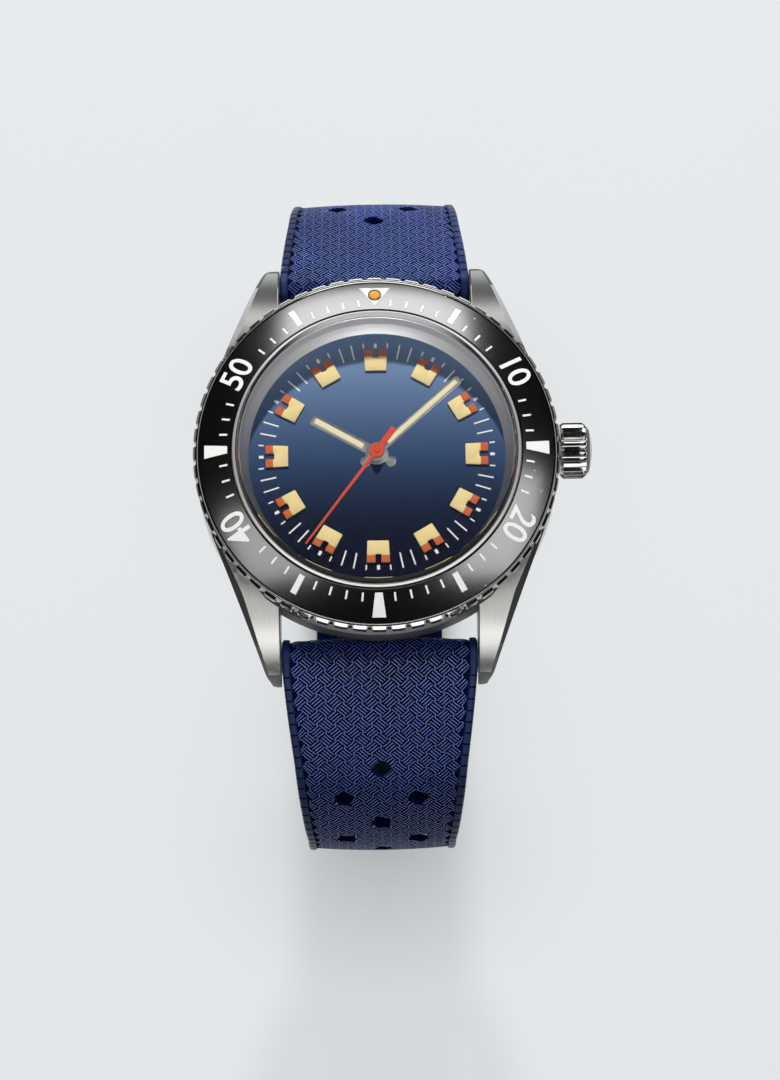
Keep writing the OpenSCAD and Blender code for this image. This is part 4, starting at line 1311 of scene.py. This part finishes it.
class WATCH_OT_buckle(bpy.types.Operator):
    """Model the buckle, its tongue and the two keepers"""

    bl_idname = "watch.buckle"
    bl_label = "Buckle"

    def execute(self, context):
        spot = at_strap(SHORT)
        corner = [(8.7 + 1.5 * math.sin(a), 9.0 + 1.5 * math.cos(a)) for a in np.linspace(0, HALF_TURN / 2, 9)]
        outer = corner + [(10.2, 0), (-10.2, 0)] + [(-x, y) for x, y in reversed(corner)]
        loop = plate("buckle_frame", outer, -0.9, 0.9)
        window = plate("window", [(-8.35, -3), (8.35, -3), (8.35, 8.1), (8.05, 8.4), (-8.05, 8.4), (-8.35, 8.1)], -3, 3)
        rest = plate("rest", [(-0.9, 8), (0.9, 8), (0.9, 11), (-0.9, 11)], 0.35, 2.35)
        cut(loop, window)
        cut(loop, rest)
        soften(loop, 0.22, 3, 40)
        ears = []
        for side in (-1, 1):
            ear = strap_tube("ear", 0, 0, 1.35, 0.75, side * 9.275 - 0.92, side * 9.275 + 0.92)
            ears.append(ear)
        piece = merge("buckle_frame", [loop] + ears)
        piece.data.transform(spot)
        settle(piece, "buckle_frame", "buckle", ["brushed"], ["buckle"], 30)
        side = [(0, 0.9), (0, 1.28), (9.3, 1.3), (9.8, 1.2), (10.22, 0.95), (10.3, 0.44), (8, 0.44), (1.2, 0.3)]
        blade = plate("tongue", [(y, z) for y, z in side], -0.75, 0.75)
        blade.data.transform(Matrix(((0, 0, 1, 0), (1, 0, 0, 0), (0, 1, 0, 0), (0, 0, 0, 1))))
        soften(blade, 0.12, 2)
        eye = strap_tube("eye", 0, 0, 1.3, 0.8, -0.75, 0.75)
        piece = merge("buckle_tongue", [blade, eye])
        piece.data.transform(spot)
        settle(piece, "buckle_tongue", "tang", ["polished"], ["buckle_tang"], 30)
        for name, node, way, body in (
                ("keeper_sewn", "keeper_fixed", 58.8, "strap_short"), ("keeper_free", "keeper_loose", 50.3, "keeper")):
            outer = []
            for cx, cz, start in ((8.3, 4.3, 0), (-8.3, 4.3, 90), (-8.3, -1.4, 180), (8.3, -1.4, 270)):
                for a in np.linspace(start, start + 90, 6):
                    outer.append((cx + 0.9 * math.cos(math.radians(a)), cz + 0.9 * math.sin(math.radians(a))))
            inner = []
            for cx, cz, start in ((8.1, 4.15, 0), (-8.1, 4.15, 90), (-8.1, -1.25, 180), (8.1, -1.25, 270)):
                for a in np.linspace(start, start + 90, 6):
                    inner.append((cx + 0.15 * math.cos(math.radians(a)), cz + 0.15 * math.sin(math.radians(a))))
            rows = []
            for wall, along in ((inner, -2.5), (outer, -2.2), (outer, -1.1), (outer, 1.1), (outer, 2.2), (inner, 2.5)):
                if wall is inner:
                    rows.append([(x * 1.0, along, z) for x, z in wall])
                else:
                    pull = 0.0 if abs(along) > 2 else 0.12
                    rows.append([(x * (1 + pull * 0.02), along, z) for x, z in wall])
            rows.insert(1, [((a[0] * 2 + b[0]) / 3, -2.5, (a[1] * 2 + b[1]) / 3) for a, b in zip(outer, inner)])
            rows.insert(6, [((a[0] * 2 + b[0]) / 3, 2.5, (a[1] * 2 + b[1]) / 3) for a, b in zip(outer, inner)])
            loop = skin(name, rows, True, True)
            loop.data.transform(at_strap(way))
            settle(loop, name, body, ["band"], [node], 40)
        return {"FINISHED"}


SOLID_FINISH = {
    "dial": "dial", "hour_hand_lume": "hand lume", "minute_hand_lume": "hand lume",
    "caseback_gasket": "seal", "crown_gasket": "seal", "crown_tube": "movement steel",
    "bezel_click_spring": "movement steel", "bezel_wire": "movement steel", "movement_ring": "plated",
    "main_plate": "plated", "barrel_bridge": "plated", "train_bridge": "plated", "balance_cock": "plated",
    "jewels": "ruby", "bridge_screws": "blued", "rotor_bearing": "movement steel",
    "spring_bar_upper": "movement steel", "spring_bar_lower": "movement steel", "centre_wheel": "brass",
    "cannon_pinion": "movement steel", "hour_wheel": "brass", "fourth_wheel": "brass", "third_wheel": "brass",
    "barrel": "brass", "mainspring": "blued", "ratchet_wheel": "movement steel", "minute_wheel": "brass",
    "escape_wheel": "movement steel", "pallet_fork": "movement steel", "balance_wheel": "brass",
    "hairspring": "blued", "crown_wheel": "movement steel", "click": "movement steel",
    "sliding_pinion": "movement steel", "winding_pinion": "movement steel", "winding_stem": "movement steel",
    "rotor": "plated", "buckle_bar": "movement steel",
}


class WATCH_OT_movement(bpy.types.Operator):
    """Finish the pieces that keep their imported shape"""

    bl_idname = "watch.movement"
    bl_label = "Movement"

    def execute(self, context):
        for node, key in SOLID_FINISH.items():
            solid = frame["nodes"][node]
            solid.data.materials.clear()
            solid.data.materials.append(finish(key))
        return {"FINISHED"}


def lamp(name, spot, aim, size, radiance, only=None):
    """An area lamp of a given brightness, turned to a point. Places in metres."""
    clear_selection()
    bpy.ops.object.light_add(type="AREA", location=spot)
    piece = bpy.context.object
    piece.name = name
    piece.data.shape = "RECTANGLE" if size[0] != size[1] else "DISK"
    piece.data.size = size[0]
    piece.data.size_y = size[1]
    area = size[0] * size[1] * (1 if size[0] != size[1] else HALF_TURN / 4)
    piece.data.energy = radiance * HALF_TURN * area
    piece.rotation_euler = (Vector(aim) - Vector(spot)).to_track_quat("-Z", "Y").to_euler()
    piece.visible_camera = False
    piece.visible_diffuse = only != "reflections"
    piece.visible_glossy = only != "shade"
    return piece


class WATCH_OT_studio(bpy.types.Operator):
    """Set up the pale floor, the lamps and the camera"""

    bl_idname = "watch.studio"
    bl_label = "Studio"

    def execute(self, context):
        scene = context.scene
        low = CAD_BOX[0][2]
        clear_selection()
        bpy.ops.mesh.primitive_grid_add(x_subdivisions=8, y_subdivisions=8, size=6, location=(0, 0, low))
        ground = bpy.context.object
        ground.name = "studio_floor"
        bpy.ops.object.transform_apply(location=True)
        material, tree, shader, place = begin_finish("matt white board")
        tone = colour("floor")
        grain = grain_of(tree, place, (60, 60, 60), 3.0, 0.5)
        vary(tree, shader, grain, shade_of(tone, 0.97), shade_of(tone, 1.03), 0.8, 0.95, None)
        # part of the board's pale tone is its own, so that it stays pale and still takes the shadow
        path = add(tree, "ShaderNodeLightPath").outputs
        seen = add(
            tree, "ShaderNodeMath", links={0: path["Is Camera Ray"], 1: path["Is Glossy Ray"]}, operation="MAXIMUM")
        seen = add(
            tree, "ShaderNodeMath", links={0: seen.outputs["Value"], 1: path["Is Transmission Ray"]},
            operation="MAXIMUM")
        share = add(tree, "ShaderNodeMath", {1: 0.7}, {0: seen.outputs["Value"]}, operation="MULTIPLY")
        # and its own glow is darkened close under the strap, within 25 mm, by ambient occlusion: shade drawn into the
        # glow
        occlusion_shade = add(tree, "ShaderNodeAmbientOcclusion", {"Color": (0.93, 0.96, 0.975, 1), "Distance": 25 * MM})
        own = add(
            tree, "ShaderNodeEmission", {"Strength": 1.0}, {"Color": occlusion_shade.outputs["Color"]})
        both = add(
            tree, "ShaderNodeMixShader",
            links={0: share.outputs["Value"], 1: shader.outputs["BSDF"], 2: own.outputs["Emission"]})
        target = next(n for n in tree.nodes if n.type == "OUTPUT_MATERIAL")
        tree.links.new(both.outputs["Shader"], target.inputs["Surface"])
        ground.data.materials.append(material)

        world = bpy.data.worlds.new("studio")
        world.use_nodes = True
        scene.world = world
        tree = world.node_tree
        tree.nodes.clear()
        way = add(tree, "ShaderNodeTexCoord").outputs["Generated"]
        split = add(tree, "ShaderNodeSeparateXYZ", links={"Vector": way})
        fade = add(
            tree, "ShaderNodeMapRange", {"From Min": 0.15, "From Max": 0.4, "To Min": 0.07, "To Max": 0.012},
            {"Value": split.outputs["Z"]}, interpolation_type="SMOOTHSTEP")
        glow = add(
            tree, "ShaderNodeBackground", {"Color": (0.97, 0.985, 1.0, 1)}, {"Strength": fade.outputs["Result"]})
        add(tree, "ShaderNodeOutputWorld", links={"Surface": glow.outputs["Background"]})

        aim = (0, 0, 0.006)
        reach = 0.8
        lift = math.radians(43)
        key = lamp("key", (0, reach * math.cos(lift), reach * math.sin(lift)), aim, (0.05, 0.05), 1230, "shade")
        fill = lamp("fill", (0, -0.15, 0.75), aim, (0.5, 0.5), 1.7, "shade")
        lamp("top", (0, 0.17, 0.57), aim, (0.26, 0.14), 1.5, "reflections")
        lamp("left", (-0.275, -0.075, 0.53), aim, (0.2, 0.24), 2.0, "reflections")
        lamp("right", (0.3, -0.03, 0.52), aim, (0.3, 0.24), 2.5, "reflections")
        front = lamp("front", (0, -0.45, 0.40), aim, (0.5, 0.22), 2.1, "reflections")
        # the sloped ring around the dial has a lamp of its own, and the insert stays black at six
        for pieces, lights in ((["dial_ring", "crystal_plate", "crystal_seal"], (key, fill)), (["ring_insert"], (front,))):
            spared = bpy.data.collections.new(pieces[0] + " spared")
            for number, piece in enumerate(pieces):
                spared.objects.link(bpy.data.objects[piece])
                spared.collection_objects[number].light_linking.link_state = "EXCLUDE"
            for light in lights:
                light.light_linking.receiver_collection = spared
        # small lamps that light single pieces
        straps = ["strap_half_long", "strap_half_short"]
        for name, chosen, spot, size, radiance, only in (
                ("twelve", ["ring_insert", "bezel_ring"], (0, 0.47, 0.37), (0.42, 0.2), 4.0, "reflections"),
                ("rim twelve", ["bezel_ring"], (0, 0.6, 0.04), (0.9, 0.12), 1.7, "reflections"),
                ("rim left", ["bezel_ring"], (-0.557, 0.149, 0.165), (0.8, 0.2), 0.8, "reflections"),
                ("rim right", ["bezel_ring"], (0.557, 0.149, 0.165), (0.8, 0.2), 0.8, "reflections"),
                ("upper lugs", ["case_middle"], (0, 0.47, 0.37), (0.42, 0.2), 1.6, "reflections"),
                ("lower lugs", ["case_middle"], (0, -0.25, 0.55), (0.5, 0.4), 0.8, "reflections"),
                ("ring", ["dial_ring", "crystal_plate", "crystal_seal"], (0, -0.54, 0.26), (0.35, 0.2), 11, None),
                ("crown", ["crown_grip"], (0.05, 0.16, 0.56), (0.6, 0.3), 1.6, "reflections"),
                ("print", ["ring_print"], (0, -0.45, 0.40), (0.3, 0.2), 9, "shade"),
                ("strap", straps[:1], (0, 0.33, 0.51), (0.3, 0.2), 17, "shade"),
                ("upper strap", straps[1:], (0, 0.5, 0.3), (0.3, 0.2), 6.5, "shade"),
                ("glint six", straps[:1], (0, -0.5, 0.2), (0.6, 0.3), 1.5, "reflections"),
                ("glint twelve", straps[1:], (0, 0.5, 0.1), (0.6, 0.2), 2, "reflections")):
            group = bpy.data.collections.new(name + " light")
            for piece in chosen:
                group.objects.link(bpy.data.objects[piece])
            lamp(name, spot, aim, size, radiance, only).light_linking.receiver_collection = group

        clear_selection()
        bpy.ops.object.camera_add()
        camera = bpy.context.object
        camera.name = "photo_camera"
        camera.data.sensor_width = 36
        camera.data.sensor_fit = "AUTO"
        camera.data.lens = 98.87
        camera.data.clip_start = 0.01
        camera.data.clip_end = 20
        tilt = math.radians(73.1)
        spot = Vector((0, -0.307 * math.cos(tilt), 0.008 + 0.307 * math.sin(tilt)))
        look = Vector((1.22, -9.06, 8.0)) * MM - spot
        camera.location = spot
        camera.rotation_euler = look.to_track_quat("-Z", "Y").to_euler()
        scene.camera = camera
        scene.view_settings.view_transform = "Standard"
        return {"FINISHED"}


class WATCH_PT_pieces(bpy.types.Panel):
    """Lists the pieces of the watch"""

    bl_idname = "WATCH_PT_pieces"
    bl_label = "Watch"
    bl_space_type = "VIEW_3D"
    bl_region_type = "UI"
    bl_category = "Watch"

    def draw(self, context):
        for step in STEPS:
            self.layout.operator(step.bl_idname)
        for group in ("watch_case", "watch_bezel", "watch_strap", "watch_colours"):
            values = getattr(context.scene, group)
            column = self.layout.column(align=True)
            for key in values.__annotations__:
                column.prop(values, key)


STEPS = (
    WATCH_OT_movement, WATCH_OT_case_middle, WATCH_OT_caseback, WATCH_OT_bezel_ring, WATCH_OT_bezel_insert,
    WATCH_OT_crystal, WATCH_OT_dial_face, WATCH_OT_hands, WATCH_OT_crown, WATCH_OT_strap_halves, WATCH_OT_buckle,
    WATCH_OT_studio)
GROUPS = {
    "watch_case": WatchCaseSizes, "watch_bezel": WatchBezelSizes, "watch_strap": WatchStrapSizes,
    "watch_colours": WatchColours}


def register():
    for group, kind in GROUPS.items():
        bpy.utils.register_class(kind)
        setattr(bpy.types.Scene, group, PointerProperty(type=kind))
    for step in STEPS:
        bpy.utils.register_class(step)
    bpy.utils.register_class(WATCH_PT_pieces)


def unregister():
    bpy.utils.unregister_class(WATCH_PT_pieces)
    for step in reversed(STEPS):
        bpy.utils.unregister_class(step)
    for group, kind in GROUPS.items():
        delattr(bpy.types.Scene, group)
        bpy.utils.unregister_class(kind)


def main():
    register()
    for step in STEPS:
        family, action = step.bl_idname.split(".")
        getattr(getattr(bpy.ops, family), action)()


if __name__ == "__main__":
    main()
